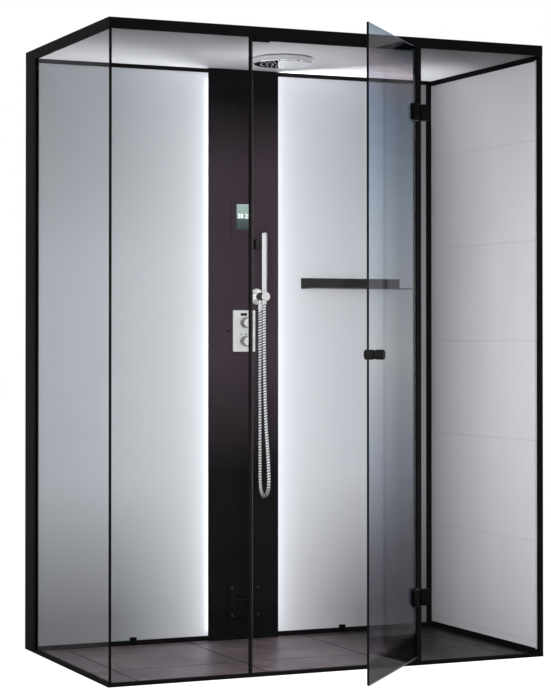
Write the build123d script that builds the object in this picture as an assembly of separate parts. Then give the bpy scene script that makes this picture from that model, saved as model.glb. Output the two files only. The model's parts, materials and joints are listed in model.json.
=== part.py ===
from build123d import *
import math
import os

# Steam shower cabin, millimetres. Origin: middle of the footprint, on the room's floor.
# +X runs to the right and +Y to the back as seen from the front, +Z up.

# --- overall size -------------------------------------------------------------------------
CABIN_W, CABIN_D, CABIN_H = 1600.0, 900.0, 2130.0
LEFT, RIGHT = -CABIN_W / 2, CABIN_W / 2
FRONT, BACK = -CABIN_D / 2, CABIN_D / 2

# --- frame --------------------------------------------------------------------------------
RAIL_W = 20.0  # width of the base and roof rails
BASE_H = 12.0
ROOF_H = 35.0
CEILING_Z = CABIN_H - ROOF_H
CEILING_T = 4.0
COVER_T = 4.0  # roof cover sheet
GROOVE_DEPTH = 8.0
SEAT_GAP = 0.15  # play on each side of a pane in its groove
REBATE_W = 8.0

# --- glass --------------------------------------------------------------------------------
GLASS_T = 6.0
GLASS_SETBACK = 4.0
PANE_FRONT_Y = FRONT + GLASS_SETBACK + GLASS_T / 2  # middle plane of the front panes
PANE_LEFT_X = LEFT + GLASS_SETBACK + GLASS_T / 2
PANE_BOTTOM = BASE_H - GROOVE_DEPTH + 0.5
PANE_TOP = CEILING_Z + GROOVE_DEPTH - 0.5
CORNER_W = 7.0
POST_W = 14.0
POST_D = 20.0
POST_SLOT = 5.0
POST_ROUND = 1.2  # radius on the posts' upright edges
STRIKE_X = (-312.0, -306.0)
STRIKE_SLOT = 3.5
STRIKE_D = 14.0
STRIKE_SEAL_X = (STRIKE_X[1], -301.0)
STRIKE_SEAL_D = 12.0
HINGE_POST_X = (305.0, 321.0)
HINGE_SEAL_W, HINGE_SEAL_T = 14.0, 4.0
STOP_H, STOP_D = 8.0, 14.0  # strip over the doorway that the leaf closes against
CATCH_X, CATCH_H = (STRIKE_SEAL_X[1], -235.0), 12.0

# --- floor --------------------------------------------------------------------------------
PAN_T = 2.5
TILE_T = 3.5
FLOOR_Z = PAN_T + TILE_T
TILE_JOINT = 3.0
TILE_PITCH = 456.0
TILE_FIRST_X, TILE_FIRST_Y = -225.0, -175.0
DRAIN_X, DRAIN_Y = 459.0, 52.5
DRAIN_SQUARE = 126.0
COVER_SQUARE = 120.0
DRAIN_COVER_T = 1.8
WASTE_R = 45.0
FLANGE_T = 1.0

# --- back wall and service space ----------------------------------------------------------
WALL_Y = 332.0  # front of the back panels
PANEL_T = 6.0
RAIL_Y = (WALL_Y - 2.0, WALL_Y + 20.0)
BACK_RAIL_TOP_H = 15.0
WALL_BOTTOM = 24.0
WALL_TOP = CEILING_Z - BACK_RAIL_TOP_H
TRIM_W = 23.0
CHANNEL_W = 14.0
CLIPS_X = (-434.0, 398.0)
CLIP_W, CLIP_RISE, CLIP_DROP = 24.0, 11.0, 17.0
SHEET = 2.0
FOLD = 14.0  # return edge of the housing's side cover
UPRIGHT_W, UPRIGHT_D = 40.0, 30.0
PIPE_Y = 392.0
TANK_Y, TANK_H = 396.0, 380.0
SHELF_X = (230.0, 639.0)
SHELF_Z = (1292.0, 1333.0)
SHELF_D = 110.0

# --- right wall ---------------------------------------------------------------------------
WALL_T = 20.0
WALL_LIP = 2.0  # lip of the wall rails in front of the board
LIP_H = 4.0
WALL_JOINTS = (400.0, 750.0, 1100.0, 1450.0, 1800.0)

# --- column -------------------------------------------------------------------------------
COLUMN_X = -11.0
COLUMN_W = 278.0
COLUMN_FACE = 310.0
COLUMN_GLASS_T = 6.0
CARCASS_W = 244.0
COLUMN_Z = (FLOOR_Z + 1.0, CEILING_Z - 1.0)
OPENING_HALF = 90.0  # half of the gap between the two back panels

# --- column fittings ----------------------------------------------------------------------
PANEL_W, PANEL_H, PANEL_Z = 98.0, 139.0, 1550.5
PLATE_W, PLATE_H, PLATE_Z = 88.0, 152.0, 1135.0
PLATE_T = 6.0
KNOB_UP_Z, KNOB_LOW_Z = 1165.0, 1097.0
KNOB_R, KNOB_L = 19.0, 38.0
FLUTES, FLUTE_SIDE = 24, 2.2
SPINDLE_R = 5.0
INLET_SIDE, INLET_Z = 75.0, 1131.0  # the hot and the cold inlet, each side of the column's middle
STEAM_Z = 147.0
STEAM_SIDE = 130.0
SENSOR_X, SENSOR_Z = -72.0, 1135.0
RUN_FIT = 0.05  # radial play of a shaft in its bore

# --- hand shower --------------------------------------------------------------------------
HOLDER_X, HOLDER_Z = 38.0, 1260.0
ROSETTE_R, ROSETTE_T = 31.0, 12.0
HOLDER_R = 16.5
HOLDER_FACE_Y = 218.0
STICK_Y = 235.0
STICK_R = 11.0
STICK_TOP = 1493.0
NUT_TOP, NUT_BOTTOM = 1277.0, 1232.0
OUTLET_Y = 272.0
WALL_NUT_TOP, WALL_NUT_BOTTOM = 1238.0, 1212.0
HOSE_R = 7.0
CONE_R = (10.2, 12.2)  # the hose's cone nut, at its lower and its upper end
CONE_GAP = 0.3

# --- overhead shower ----------------------------------------------------------------------
HEAD_X, HEAD_Y = COLUMN_X, -40.0
HEAD_R = 103.5
HEAD_T, HEAD_FACE_T = 20.0, 4.0
NOZZLE_RINGS = ((18.0, 8), (38.0, 14), (58.0, 20), (78.0, 26))
NOZZLE_R, NOZZLE_L = 1.8, 1.0

# --- door ---------------------------------------------------------------------------------
AXIS_X, AXIS_Y = 309.0, PANE_FRONT_Y
DOOR_REST = 47.45  # degrees open at rest
LEAF_IN, LEAF_OUT = 20.0, 605.0  # leaf glass, measured from the hinge axis
LEAF_Z = (29.0, 2094.0)
EDGE_W, EDGE_D = 4.0, 6.6  # flat strip on the leaf's free edge
HINGE_Z = (229.0, 1875.0)
HINGE_H = 55.0
DOOR_PLATE = (16.0, 50.0)  # clamp plates, measured from the hinge axis
FIXED_PLATE = (9.5, 46.0)
HINGE_PLATE_T = 11.0
HINGE_GAP = 2.0  # room above and below a hinge
BOSS_L, BOSS_HALF = 18.0, 18.0  # the clamp's block in the pane's notch
NOTCH_H, NOTCH_ROUND = 41.0, 6.0
DOOR_NOTCH, FIXED_NOTCH = 36.0, 31.0  # how far the notches reach from the hinge axis
KNUCKLE_R, PIN_R = 8.0, 4.0
KNUCKLE_HALF, KNUCKLE_PLAY = 10.0, 0.3
DOOR_KNOB_AT, DOOR_KNOB_Z = 531.0, 1055.0
DOOR_KNOB_R, DOOR_KNOB_L = 16.0, 28.5


# --- helpers ------------------------------------------------------------------------------
def span(x, y, z):
    """A box from its lowest to its highest value along each axis."""
    size = [b - a for a, b in (x, y, z)]
    return Pos(*[(a + b) / 2 for a, b in (x, y, z)]) * Box(*size)


def prism(points, low, high):
    """An upright prism on an outline drawn in plan."""
    return Pos(0, 0, low) * extrude(make_face(Polyline(*points, close=True)), high - low)


def rod(start, end, radius):
    """A round rod between two points."""
    start, end = Vector(*start), Vector(*end)
    way = end - start
    return Plane(origin=start, z_dir=way) * extrude(Circle(radius), way.length)


def along_x(points, low, high):
    """A bar along X whose section is drawn as (y, z) points."""
    face = make_face(Polyline(*[(low, y, z) for y, z in points], close=True))
    return extrude(face, high - low, dir=(1, 0, 0))


def turned(profile, x, y, z, axis="z"):
    """A turned part: (radius, height) points spun round an axis through x, y, z."""
    face = make_face(Polyline(*[(r, 0, h) for r, h in profile], close=True))
    solid = revolve(face, Axis.Z)
    tilt = {"z": Rot(0, 0, 0), "-y": Rot(90, 0, 0)}[axis]
    return Pos(x, y, z) * tilt * solid


def slab(width, height, thick, corner):
    """A plate in the XZ plane with rounded corners, its front face at y = 0, body behind."""
    face = Plane.XZ * RectangleRounded(width, height, corner)
    return extrude(face, thick, dir=(0, 1, 0))


def tube(points, radius, bends):
    """A pipe of the given outer radius along straight runs joined by arcs."""
    path = FilletPolyline(*points, radius=bends)
    first = Vector(*points[1]) - Vector(*points[0])
    return sweep(Plane(origin=points[0], z_dir=first) * Circle(radius), path=path)


def opened(part):
    """A door part, modelled closed, turned about the hinge axis to its rest position."""
    return Pos(AXIS_X, AXIS_Y, 0) * Rot(0, 0, DOOR_REST) * Pos(-AXIS_X, -AXIS_Y, 0) * part


def around(level):
    """The height that a hinge takes, with the room above and below it."""
    half = HINGE_H / 2 + HINGE_GAP
    return (level - half, level + half)


# --- where the panes lie ------------------------------------------------------------------
PANE_Y = (PANE_FRONT_Y - GLASS_T / 2, PANE_FRONT_Y + GLASS_T / 2)
PANE_X = (PANE_LEFT_X - GLASS_T / 2, PANE_LEFT_X + GLASS_T / 2)
SLOT_Y = (PANE_Y[0] - SEAT_GAP, PANE_Y[1] + SEAT_GAP)
SLOT_X = (PANE_X[0] - SEAT_GAP, PANE_X[1] + SEAT_GAP)
CORNER_IN_X = PANE_X[0] + CORNER_W
CORNER_IN_Y = PANE_Y[0] + CORNER_W
LEFT_PANE_X = (CORNER_IN_X, STRIKE_X[0] + STRIKE_SLOT)
RIGHT_POST_X = RIGHT - POST_W
RIGHT_PANE_X = (HINGE_POST_X[1] - POST_SLOT, RIGHT_POST_X + POST_SLOT)
SIDE_PANE_Y = (CORNER_IN_Y, RAIL_Y[0] + GROOVE_DEPTH)

nodes = {}


# --- base and roof frames -----------------------------------------------------------------
def ring_rails(low, high):
    """Four rails mitred at the corners, in the order front, right, back, left."""
    outer = [(LEFT, FRONT), (RIGHT, FRONT), (RIGHT, BACK), (LEFT, BACK)]
    w = RAIL_W
    inner = [(LEFT + w, FRONT + w), (RIGHT - w, FRONT + w), (RIGHT - w, BACK - w), (LEFT + w, BACK - w)]
    rails = []
    for i in range(4):
        j = (i + 1) % 4
        rails.append(prism([outer[i], outer[j], inner[j], inner[i]], low, high))
    return rails


def grooved(rails, low, high):
    """Cuts the panes' grooves into a ring's front and left rails."""
    z = (low, high)
    cutters = [
        span((LEFT_PANE_X[0] - 0.5, LEFT_PANE_X[1] + 0.5), SLOT_Y, z),
        span((RIGHT_PANE_X[0] - 0.5, RIGHT_PANE_X[1] + 0.5), SLOT_Y, z),
        span(SLOT_X, (SIDE_PANE_Y[0] - 0.5, SIDE_PANE_Y[1] + 0.5), z),
    ]
    return [rail - cutters for rail in rails]


def make_base():
    rails = grooved(ring_rails(0, BASE_H), BASE_H - GROOVE_DEPTH, BASE_H)
    nodes["base_frame"] = Compound(rails)

    inner_x, inner_y = (LEFT + RAIL_W, RIGHT - RAIL_W), (FRONT + RAIL_W, BACK - RAIL_W)
    neck = Pos(DRAIN_X, DRAIN_Y, 0) * Cylinder(WASTE_R + 5.3, 4 * PAN_T)
    nodes["base_pan"] = span(inner_x, inner_y, (0, PAN_T)) - neck

    flange = span(
        (DRAIN_X - DRAIN_SQUARE / 2 + 1, DRAIN_X + DRAIN_SQUARE / 2 - 1),
        (DRAIN_Y - DRAIN_SQUARE / 2 + 1, DRAIN_Y + DRAIN_SQUARE / 2 - 1),
        (PAN_T, PAN_T + FLANGE_T),
    )
    flange += Pos(DRAIN_X, DRAIN_Y, PAN_T / 2) * Cylinder(WASTE_R + 5, PAN_T)
    nodes["waste_flange"] = flange - Pos(DRAIN_X, DRAIN_Y, 0) * Cylinder(WASTE_R, 4 * PAN_T)


def tile_edges(low, high, first):
    """The stretches between joints that lie on a regular pitch, cut to a room's width."""
    joints = [first + k * TILE_PITCH for k in range(-3, 4)]
    joints = [j for j in joints if low + TILE_JOINT < j < high - TILE_JOINT]
    starts = [low] + [j + TILE_JOINT / 2 for j in joints]
    ends = [j - TILE_JOINT / 2 for j in joints] + [high]
    return list(zip(starts, ends))


def make_floor():
    columns = tile_edges(LEFT + RAIL_W, RIGHT - WALL_T - WALL_LIP, TILE_FIRST_X)
    rows = tile_edges(FRONT + RAIL_W, RAIL_Y[0], TILE_FIRST_Y)
    half = DRAIN_SQUARE / 2
    well = span((DRAIN_X - half, DRAIN_X + half), (DRAIN_Y - half, DRAIN_Y + half), (0, CABIN_H))
    tiles = [span(x, y, (PAN_T, FLOOR_Z)) - well for x in columns for y in rows]
    nodes["floor_tiles"] = Compound(tiles)

    half = COVER_SQUARE / 2
    under, seat = FLOOR_Z - DRAIN_COVER_T, PAN_T + FLANGE_T
    plate = Pos(DRAIN_X, DRAIN_Y, under) * extrude(Rectangle(2 * half, 2 * half), DRAIN_COVER_T)
    plate = chamfer(plate.faces().sort_by(Axis.Z)[-1].edges(), 0.4)
    foot = Cylinder(4, under - seat)
    foot_z = (under + seat) / 2
    for sx in (-1, 1):
        for sy in (-1, 1):
            plate += Pos(DRAIN_X + sx * (half - 9), DRAIN_Y + sy * (half - 9), foot_z) * foot
    nodes["drain_cover"] = plate


def make_roof():
    rails = grooved(ring_rails(CEILING_Z, CABIN_H), CEILING_Z, CEILING_Z + GROOVE_DEPTH)
    step = REBATE_W
    inner = ((LEFT + RAIL_W, RIGHT - RAIL_W), (FRONT + RAIL_W, BACK - RAIL_W))
    wide = tuple((a - step, b + step) for a, b in inner)
    top_seat = span(wide[0], wide[1], (CABIN_H - COVER_T, CABIN_H))
    low_seat = span(wide[0], (wide[1][0], inner[1][1]), (CEILING_Z, CEILING_Z + CEILING_T))
    nodes["roof_frame"] = Compound([rail - top_seat - low_seat for rail in rails])

    ceiling = span(wide[0], (wide[1][0], WALL_Y + PANEL_T), (CEILING_Z, CEILING_Z + CEILING_T))
    inlet = Pos(HEAD_X, HEAD_Y, CEILING_Z) * Cylinder(12.3, 4 * CEILING_T)
    nodes["ceiling_panel"] = ceiling - inlet
    nodes["roof_cover"] = top_seat


# --- posts and panes ----------------------------------------------------------------------
def make_posts():
    z = (BASE_H, CEILING_Z)
    corner = span((PANE_X[0], CORNER_IN_X), (PANE_Y[0], CORNER_IN_Y), z)
    outer = corner.edges().filter_by(Axis.Z).sort_by(lambda e: e.center().X + e.center().Y)[0]
    nodes["glass_corner_profile"] = fillet(outer, 3)

    strike = span(STRIKE_X, (FRONT, FRONT + STRIKE_D), z)
    strike = fillet(strike.edges().filter_by(Axis.Z), POST_ROUND)
    nodes["strike_post"] = strike - span((STRIKE_X[0], LEFT_PANE_X[1] + 0.2), SLOT_Y, z)

    hinge = span(HINGE_POST_X, (FRONT, FRONT + POST_D), z)
    hinge = fillet(hinge.edges().filter_by(Axis.Z), POST_ROUND)
    hinge -= span((RIGHT_PANE_X[0] - 0.2, HINGE_POST_X[1]), SLOT_Y, z)
    for level in HINGE_Z:
        hinge -= span(HINGE_POST_X, (FRONT, FRONT + POST_D), around(level))
    nodes["hinge_post"] = hinge

    right = span((RIGHT_POST_X, RIGHT), (FRONT, FRONT + POST_D), z)
    right = fillet(right.edges().filter_by(Axis.Z), POST_ROUND)
    nodes["right_front_post"] = right - span((RIGHT_POST_X, RIGHT_PANE_X[1] + 0.2), SLOT_Y, z)


def make_doorway_seals():
    """The soft strips on both posts and the stop over the doorway."""
    z, y = (BASE_H, CEILING_Z), PANE_FRONT_Y
    strike = span(STRIKE_SEAL_X, (y - STRIKE_SEAL_D / 2, y + STRIKE_SEAL_D / 2), z)
    rounded = strike.edges().filter_by(Axis.Z).sort_by(Axis.X)[-2:]
    nodes["strike_seal"] = fillet(rounded, 2.0)

    fin_x = (HINGE_POST_X[0] - HINGE_SEAL_W, HINGE_POST_X[0])
    fin = span(fin_x, (y - HINGE_SEAL_T / 2, y + HINGE_SEAL_T / 2), z)
    for level in HINGE_Z:
        fin -= span(fin_x, (y - HINGE_SEAL_T, y + HINGE_SEAL_T), around(level))
    nodes["hinge_seal"] = fin

    face, top = PANE_Y[1] + 2.0, CEILING_Z
    low = top - STOP_H
    section = [(face, top), (face, low + 2), (face + 2, low), (face + STOP_D, low), (face + STOP_D, top)]
    stop = along_x(section, STRIKE_SEAL_X[1], HINGE_POST_X[0])
    nodes["head_stop"] = stop + span(CATCH_X, (face, face + STOP_D), (top - CATCH_H, top))


def hinge_cutout(x, level, depth):
    """The notch in a pane's edge that a hinge's boss passes through."""
    outline = Plane.XZ * RectangleRounded(2 * depth, NOTCH_H, NOTCH_ROUND)
    return Pos(x, PANE_FRONT_Y, level) * extrude(outline, 2 * GLASS_T, both=True)


def make_panes():
    z = (PANE_BOTTOM, PANE_TOP)
    nodes["glass_left_side"] = span(PANE_X, SIDE_PANE_Y, z)
    nodes["glass_front_left"] = span(LEFT_PANE_X, PANE_Y, z)
    right = span(RIGHT_PANE_X, PANE_Y, z)
    for level in HINGE_Z:
        right -= hinge_cutout(RIGHT_PANE_X[0], level, AXIS_X + FIXED_NOTCH - RIGHT_PANE_X[0])
        right -= span((RIGHT_PANE_X[0], AXIS_X + KNUCKLE_R + 2.5), SLOT_Y, around(level))
    nodes["glass_front_right"] = right


# --- walls and service housing ------------------------------------------------------------
def make_walls():
    inner = RIGHT - WALL_T
    x = (LEFT + CHANNEL_W, inner)
    bottom = span(x, RAIL_Y, (BASE_H, WALL_BOTTOM))
    bottom += span((LEFT + RAIL_W, inner), RAIL_Y, (PAN_T, BASE_H))
    top = span(x, RAIL_Y, (WALL_TOP, CEILING_Z))
    wall_y, lip_y = (FRONT + POST_D, BACK), (FRONT + POST_D, RAIL_Y[0])
    side_bottom = span((inner, RIGHT), wall_y, (BASE_H, WALL_BOTTOM))
    side_bottom += span((inner - WALL_LIP, inner), lip_y, (PAN_T, WALL_BOTTOM + LIP_H))
    side_top = span((inner, RIGHT), wall_y, (WALL_TOP, CEILING_Z))
    side_top += span((inner - WALL_LIP, inner), lip_y, (WALL_TOP - LIP_H, CEILING_Z))
    nodes["wall_rails"] = Compound([bottom, top, side_bottom, side_top])

    z = (WALL_BOTTOM, WALL_TOP)
    panel_y = (WALL_Y, WALL_Y + PANEL_T)
    trim_x = (RIGHT - WALL_T - TRIM_W, RIGHT - WALL_T)
    nodes["back_panel_left"] = span((LEFT + CHANNEL_W, COLUMN_X - OPENING_HALF), panel_y, z)
    nodes["back_panel_right"] = span((COLUMN_X + OPENING_HALF, trim_x[0]), panel_y, z)
    trim = span(trim_x, RAIL_Y, z)
    nodes["corner_trim"] = fillet(trim.edges().filter_by(Axis.Z).sort_by(Axis.Y)[:2], 1.5)

    channel = span((LEFT, LEFT + CHANNEL_W), RAIL_Y, (BASE_H, CEILING_Z))
    channel -= span(SLOT_X, (RAIL_Y[0], SIDE_PANE_Y[1] + 0.2), (0, CABIN_H))
    nodes["left_wall_channel"] = channel

    wall = span((RIGHT - WALL_T, RIGHT), (FRONT + POST_D, BACK), z)
    for level in WALL_JOINTS:
        groove = Pos(RIGHT - WALL_T, 0, level) * Rot(0, 45, 0) * Box(1.6, 2 * CABIN_D, 1.6)
        wall -= groove
    nodes["right_wall_panel"] = wall

    clips = []
    rise = WALL_BOTTOM + CLIP_RISE
    for middle in CLIPS_X:
        x = (middle - CLIP_W / 2, middle + CLIP_W / 2)
        foot = span(x, (RAIL_Y[0] - 5, RAIL_Y[0]), (WALL_BOTTOM - CLIP_DROP, rise))
        clips.append(foot + span(x, (RAIL_Y[0], WALL_Y), (WALL_BOTTOM, rise)))
    nodes["panel_clips"] = Compound(clips)


def upright(x):
    """A folded steel channel, open towards the back, with two return lips."""
    half, y, t, lip = UPRIGHT_W / 2, WALL_Y + PANEL_T, SHEET, 9.0
    d = UPRIGHT_D
    outline = [(-half, 0), (half, 0), (half, d), (half - lip, d), (half - lip, d - t)]
    outline += [(half - t, d - t), (half - t, t), (t - half, t), (t - half, d - t)]
    outline += [(lip - half, d - t), (lip - half, d), (-half, d)]
    return Pos(x, y, 0) * prism(outline, WALL_BOTTOM, WALL_TOP)


def vents(x, z, count):
    """A column of horizontal vent slots through a rear cover."""
    slots = []
    for i in range(count):
        slots.append(Pos(x, BACK, z + 14 * i) * extrude(Plane.XZ * SlotOverall(70, 5), 5, both=True))
    return slots


def make_housing():
    skin, fold = LEFT + SHEET, LEFT + FOLD
    y0, y1 = RAIL_Y[1], BACK - SHEET
    outline = [(LEFT, y0), (fold, y0), (fold, y0 + SHEET), (skin, y0 + SHEET)]
    outline += [(skin, y1 - SHEET), (fold, y1 - SHEET), (fold, y1), (LEFT, y1)]
    nodes["housing_side_cover"] = prism(outline, BASE_H, CEILING_Z)

    split = (COLUMN_X - 120, COLUMN_X + 120)
    y = (BACK - SHEET, BACK)
    z = (BASE_H, CEILING_Z)
    left = span((LEFT, split[0]), y, z)
    right = span((split[1], RIGHT - WALL_T), y, z)
    for vent in vents(300, 250, 9) + vents(-300, 1900, 9):
        left -= vent
        right -= vent
    low = span(split, y, (BASE_H, 1050))
    high = span(split, y, (1570, CEILING_Z))
    nodes["rear_covers"] = Compound([left, right, low, high])

    places = (-740.0, -430.0, COLUMN_X - 120, COLUMN_X + 120, 430.0, 735.0)
    nodes["uprights"] = Compound([upright(x) for x in places])


def make_services():
    foot_h, neck_h = 12.0, 12.0
    tank_low = PAN_T + foot_h
    tank = Pos(300, TANK_Y, tank_low) * extrude(RectangleRounded(300, 50, 24), TANK_H)
    tank = chamfer(tank.faces().sort_by(Axis.Z)[-1].edges(), 3)
    for x in (190.0, 410.0):
        tank += Pos(x, TANK_Y, PAN_T + foot_h / 2) * Cylinder(16, foot_h)
        tank += Pos(x, PIPE_Y, tank_low + TANK_H + neck_h / 2 - 2) * Cylinder(13, neck_h + 4)
    nodes["steam_generator"] = tank
    tank_top = tank_low + TANK_H + neck_h

    steam_path = [(190, PIPE_Y, tank_top), (190, PIPE_Y, 480), (COLUMN_X, PIPE_Y, 480)]
    steam_path += [(COLUMN_X, PIPE_Y, STEAM_Z), (COLUMN_X, 342, STEAM_Z)]
    nodes["steam_pipe"] = tube(steam_path, 11, 30)

    box_x = (COLUMN_X - 139, COLUMN_X - 23)
    box_y = (WALL_Y + PANEL_T + UPRIGHT_D, 430)
    box = span(box_x, box_y, (1480, 1680))
    box = fillet(box.edges().filter_by(Axis.Y), 6)
    box += rod((-76, 430, 1510), (-76, 446, 1510), 9)
    nodes["control_box"] = box - rod((-76, 416, 1510), (-76, 446, 1510), 5)

    feed = [(COLUMN_X, PIPE_Y, 1056), (COLUMN_X, PIPE_Y, 570), (410, PIPE_Y, 570), (410, PIPE_Y, tank_top)]
    riser = [(HEAD_X, PIPE_Y, 1214), (HEAD_X, PIPE_Y, 2112), (HEAD_X, HEAD_Y + 12, 2112)]
    side = [(24, PIPE_Y, 1182), (HOLDER_X, PIPE_Y, 1182), (HOLDER_X, PIPE_Y, HOLDER_Z)]
    side += [(HOLDER_X, 344, HOLDER_Z)]
    nodes["water_pipes"] = Compound([tube(feed, 6, 25), tube(riser, 7, 12), tube(side, 6, 9)])


# --- column -------------------------------------------------------------------------------
def column_holes():
    """Everything that passes through the column's face, as cutters."""
    y0, y1 = COLUMN_FACE - 30, RAIL_Y[0] + 2
    x = COLUMN_X
    holes = [span((x - 34, x + 34), (y0, y1), (PLATE_Z - 62, PLATE_Z + 62))]
    holes.append(span((x - 40, x + 40), (y0, y1), (PANEL_Z - 58, PANEL_Z + 58)))
    holes.append(rod((HOLDER_X, y0, HOLDER_Z), (HOLDER_X, y1, HOLDER_Z), 12))
    holes.append(rod((SENSOR_X, y0, SENSOR_Z), (SENSOR_X, y1, SENSOR_Z), 3))
    holes.append(rod((x, y0, STEAM_Z), (x, y1, STEAM_Z), 22))
    return holes


def make_column():
    x = (COLUMN_X - COLUMN_W / 2, COLUMN_X + COLUMN_W / 2)
    front = span(x, (COLUMN_FACE, COLUMN_FACE + COLUMN_GLASS_T), COLUMN_Z)
    front = chamfer(front.faces().sort_by(Axis.Y)[0].edges().filter_by(Axis.Z), 1.2)

    back, t, half, lip = RAIL_Y[0], SHEET, CARCASS_W / 2, 20.0
    y = COLUMN_FACE + COLUMN_GLASS_T
    outline = [(-half, y), (half, y), (half, back), (half - lip, back), (half - lip, back - t)]
    outline += [(half - t, back - t), (half - t, y + t), (t - half, y + t), (t - half, back - t)]
    outline += [(lip - half, back - t), (lip - half, back), (-half, back)]
    carcass = Pos(COLUMN_X, 0, 0) * prism(outline, *COLUMN_Z)
    for hole in column_holes():
        front -= hole
        carcass -= hole
    nodes["column_front"] = front
    nodes["column_carcass"] = carcass

    strips = []
    for side in (-1, 1):
        inner, outer = sorted((COLUMN_X + side * half, COLUMN_X + side * (half + 8)))
        strips.append(span((inner, outer), (y + 2, back - 2), (40, CEILING_Z - 35)))
    nodes["led_strips"] = Compound(strips)


def mixer_knob(level):
    """A turned handle with a fluted grip, a domed face and its spindle."""
    foot_y = COLUMN_FACE - PLATE_T - 1
    profile = [(0, 0), (KNOB_R - 3, 0), (KNOB_R - 3, 3), (KNOB_R, 5), (KNOB_R, KNOB_L - 4)]
    profile += [(KNOB_R - 1.2, KNOB_L - 1.2), (KNOB_R - 5, KNOB_L), (0, KNOB_L)]
    knob = turned(profile, COLUMN_X, foot_y, level, "-y")
    groove_l = KNOB_L - 14
    groove = Pos(KNOB_R + 0.2, 0, 0) * Rot(0, 45, 0) * Box(FLUTE_SIDE, groove_l, FLUTE_SIDE)
    middle = Pos(COLUMN_X, foot_y - 8 - groove_l / 2, level)
    knob -= [middle * Rot(0, 360 * i / FLUTES, 0) * groove for i in range(FLUTES)]
    return knob + rod((COLUMN_X, foot_y, level), (COLUMN_X, 350, level), SPINDLE_R)


def make_mixer():
    plate = Pos(COLUMN_X, COLUMN_FACE - PLATE_T, PLATE_Z) * slab(PLATE_W, PLATE_H, PLATE_T, 4)
    plate = fillet(plate.faces().sort_by(Axis.Y)[0].edges(), 1.5)
    for level in (KNOB_UP_Z, KNOB_LOW_Z):
        plate -= rod((COLUMN_X, 290, level), (COLUMN_X, 330, level), 9)
    nodes["mixer_plate"] = plate

    nodes["knob_temperature"] = mixer_knob(KNOB_UP_Z)
    nodes["knob_flow"] = mixer_knob(KNOB_LOW_Z)

    inlets = (COLUMN_X - INLET_SIDE, COLUMN_X + INLET_SIDE)
    body = rod((COLUMN_X, PIPE_Y, 1062), (COLUMN_X, PIPE_Y, 1202), 24)
    body += span((inlets[0] - 15, inlets[1] + 15), (PIPE_Y - 13, PIPE_Y + 13), (INLET_Z - 13, INLET_Z + 13))
    for x in inlets:
        body += rod((x, PIPE_Y, INLET_Z), (x, 446, INLET_Z), 10.48)
        hexagon = Plane.XZ * RegularPolygon(14, 6)
        body += Pos(x, 432, INLET_Z) * extrude(hexagon, 8, dir=(0, -1, 0))
    body += rod((HEAD_X, PIPE_Y, 1190), (HEAD_X, PIPE_Y, 1214), 9)
    body += rod((COLUMN_X, PIPE_Y, 1056), (COLUMN_X, PIPE_Y, 1070), 9)
    body += rod((COLUMN_X, PIPE_Y, 1182), (24, PIPE_Y, 1182), 8)
    for level in (KNOB_UP_Z, KNOB_LOW_Z):
        body += rod((COLUMN_X, 322, level), (COLUMN_X, PIPE_Y, level), 17)
        body -= rod((COLUMN_X, 320, level), (COLUMN_X, 352, level), SPINDLE_R + RUN_FIT)
    for x in inlets:
        body -= rod((x, 416, INLET_Z), (x, 446, INLET_Z), 7)
    nodes["mixer_body"] = body


def make_column_fittings():
    panel = Pos(COLUMN_X, COLUMN_FACE - 4, PANEL_Z) * slab(PANEL_W, PANEL_H, 4, 5)
    panel = fillet(panel.faces().sort_by(Axis.Y)[0].edges(), 1.2)
    panel += span((COLUMN_X - 37, COLUMN_X + 37), (COLUMN_FACE, 328), (PANEL_Z - 55, PANEL_Z + 55))
    nodes["control_panel"] = panel

    stem = [(0, -14), (2.7, -14), (2.7, 0), (4.2, 0), (4.2, 1.5), (3, 2.6), (0, 3)]
    nodes["temperature_sensor"] = turned(stem, SENSOR_X, COLUMN_FACE, SENSOR_Z, "-y")

    cover = Pos(COLUMN_X, COLUMN_FACE - 5, STEAM_Z) * slab(STEAM_SIDE, STEAM_SIDE, 5, 8)
    cover = fillet(cover.faces().sort_by(Axis.Y)[0].edges(), 1.5)
    for i in range(4):
        louvre = Pos(COLUMN_X, COLUMN_FACE - 2, STEAM_Z - 24 + 14 * i) * Rot(30, 0, 0) * Box(66, 16, 4)
        cover -= louvre
    nodes["steam_outlet_cover"] = cover

    nozzle = [(8, -10), (21, -10), (21, -12), (12, -14), (12, -32), (8, -32)]
    nodes["steam_nozzle"] = turned(nozzle, COLUMN_X, COLUMN_FACE, STEAM_Z, "-y")

    buffer = Pos(HOLDER_X - 4, COLUMN_FACE - 26, 1452.5) * slab(14, 35, 26, 4)
    nodes["stick_buffer"] = chamfer(buffer.faces().sort_by(Axis.Y)[0].edges(), 1.2)

    y, (z, top) = WALL_Y, SHELF_Z
    edge = y - SHELF_D
    section = [(y, z), (y, top), (y - 3, top), (y - 3, z + 4)]
    section += [(edge + 4, z + 4), (edge, z + 2), (edge, z)]
    shelf = along_x(section, *SHELF_X)
    corners = shelf.edges().filter_by(Axis.Z).sort_by(Axis.Y)[:2]
    nodes["shelf"] = fillet(corners, 1.0)


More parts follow.
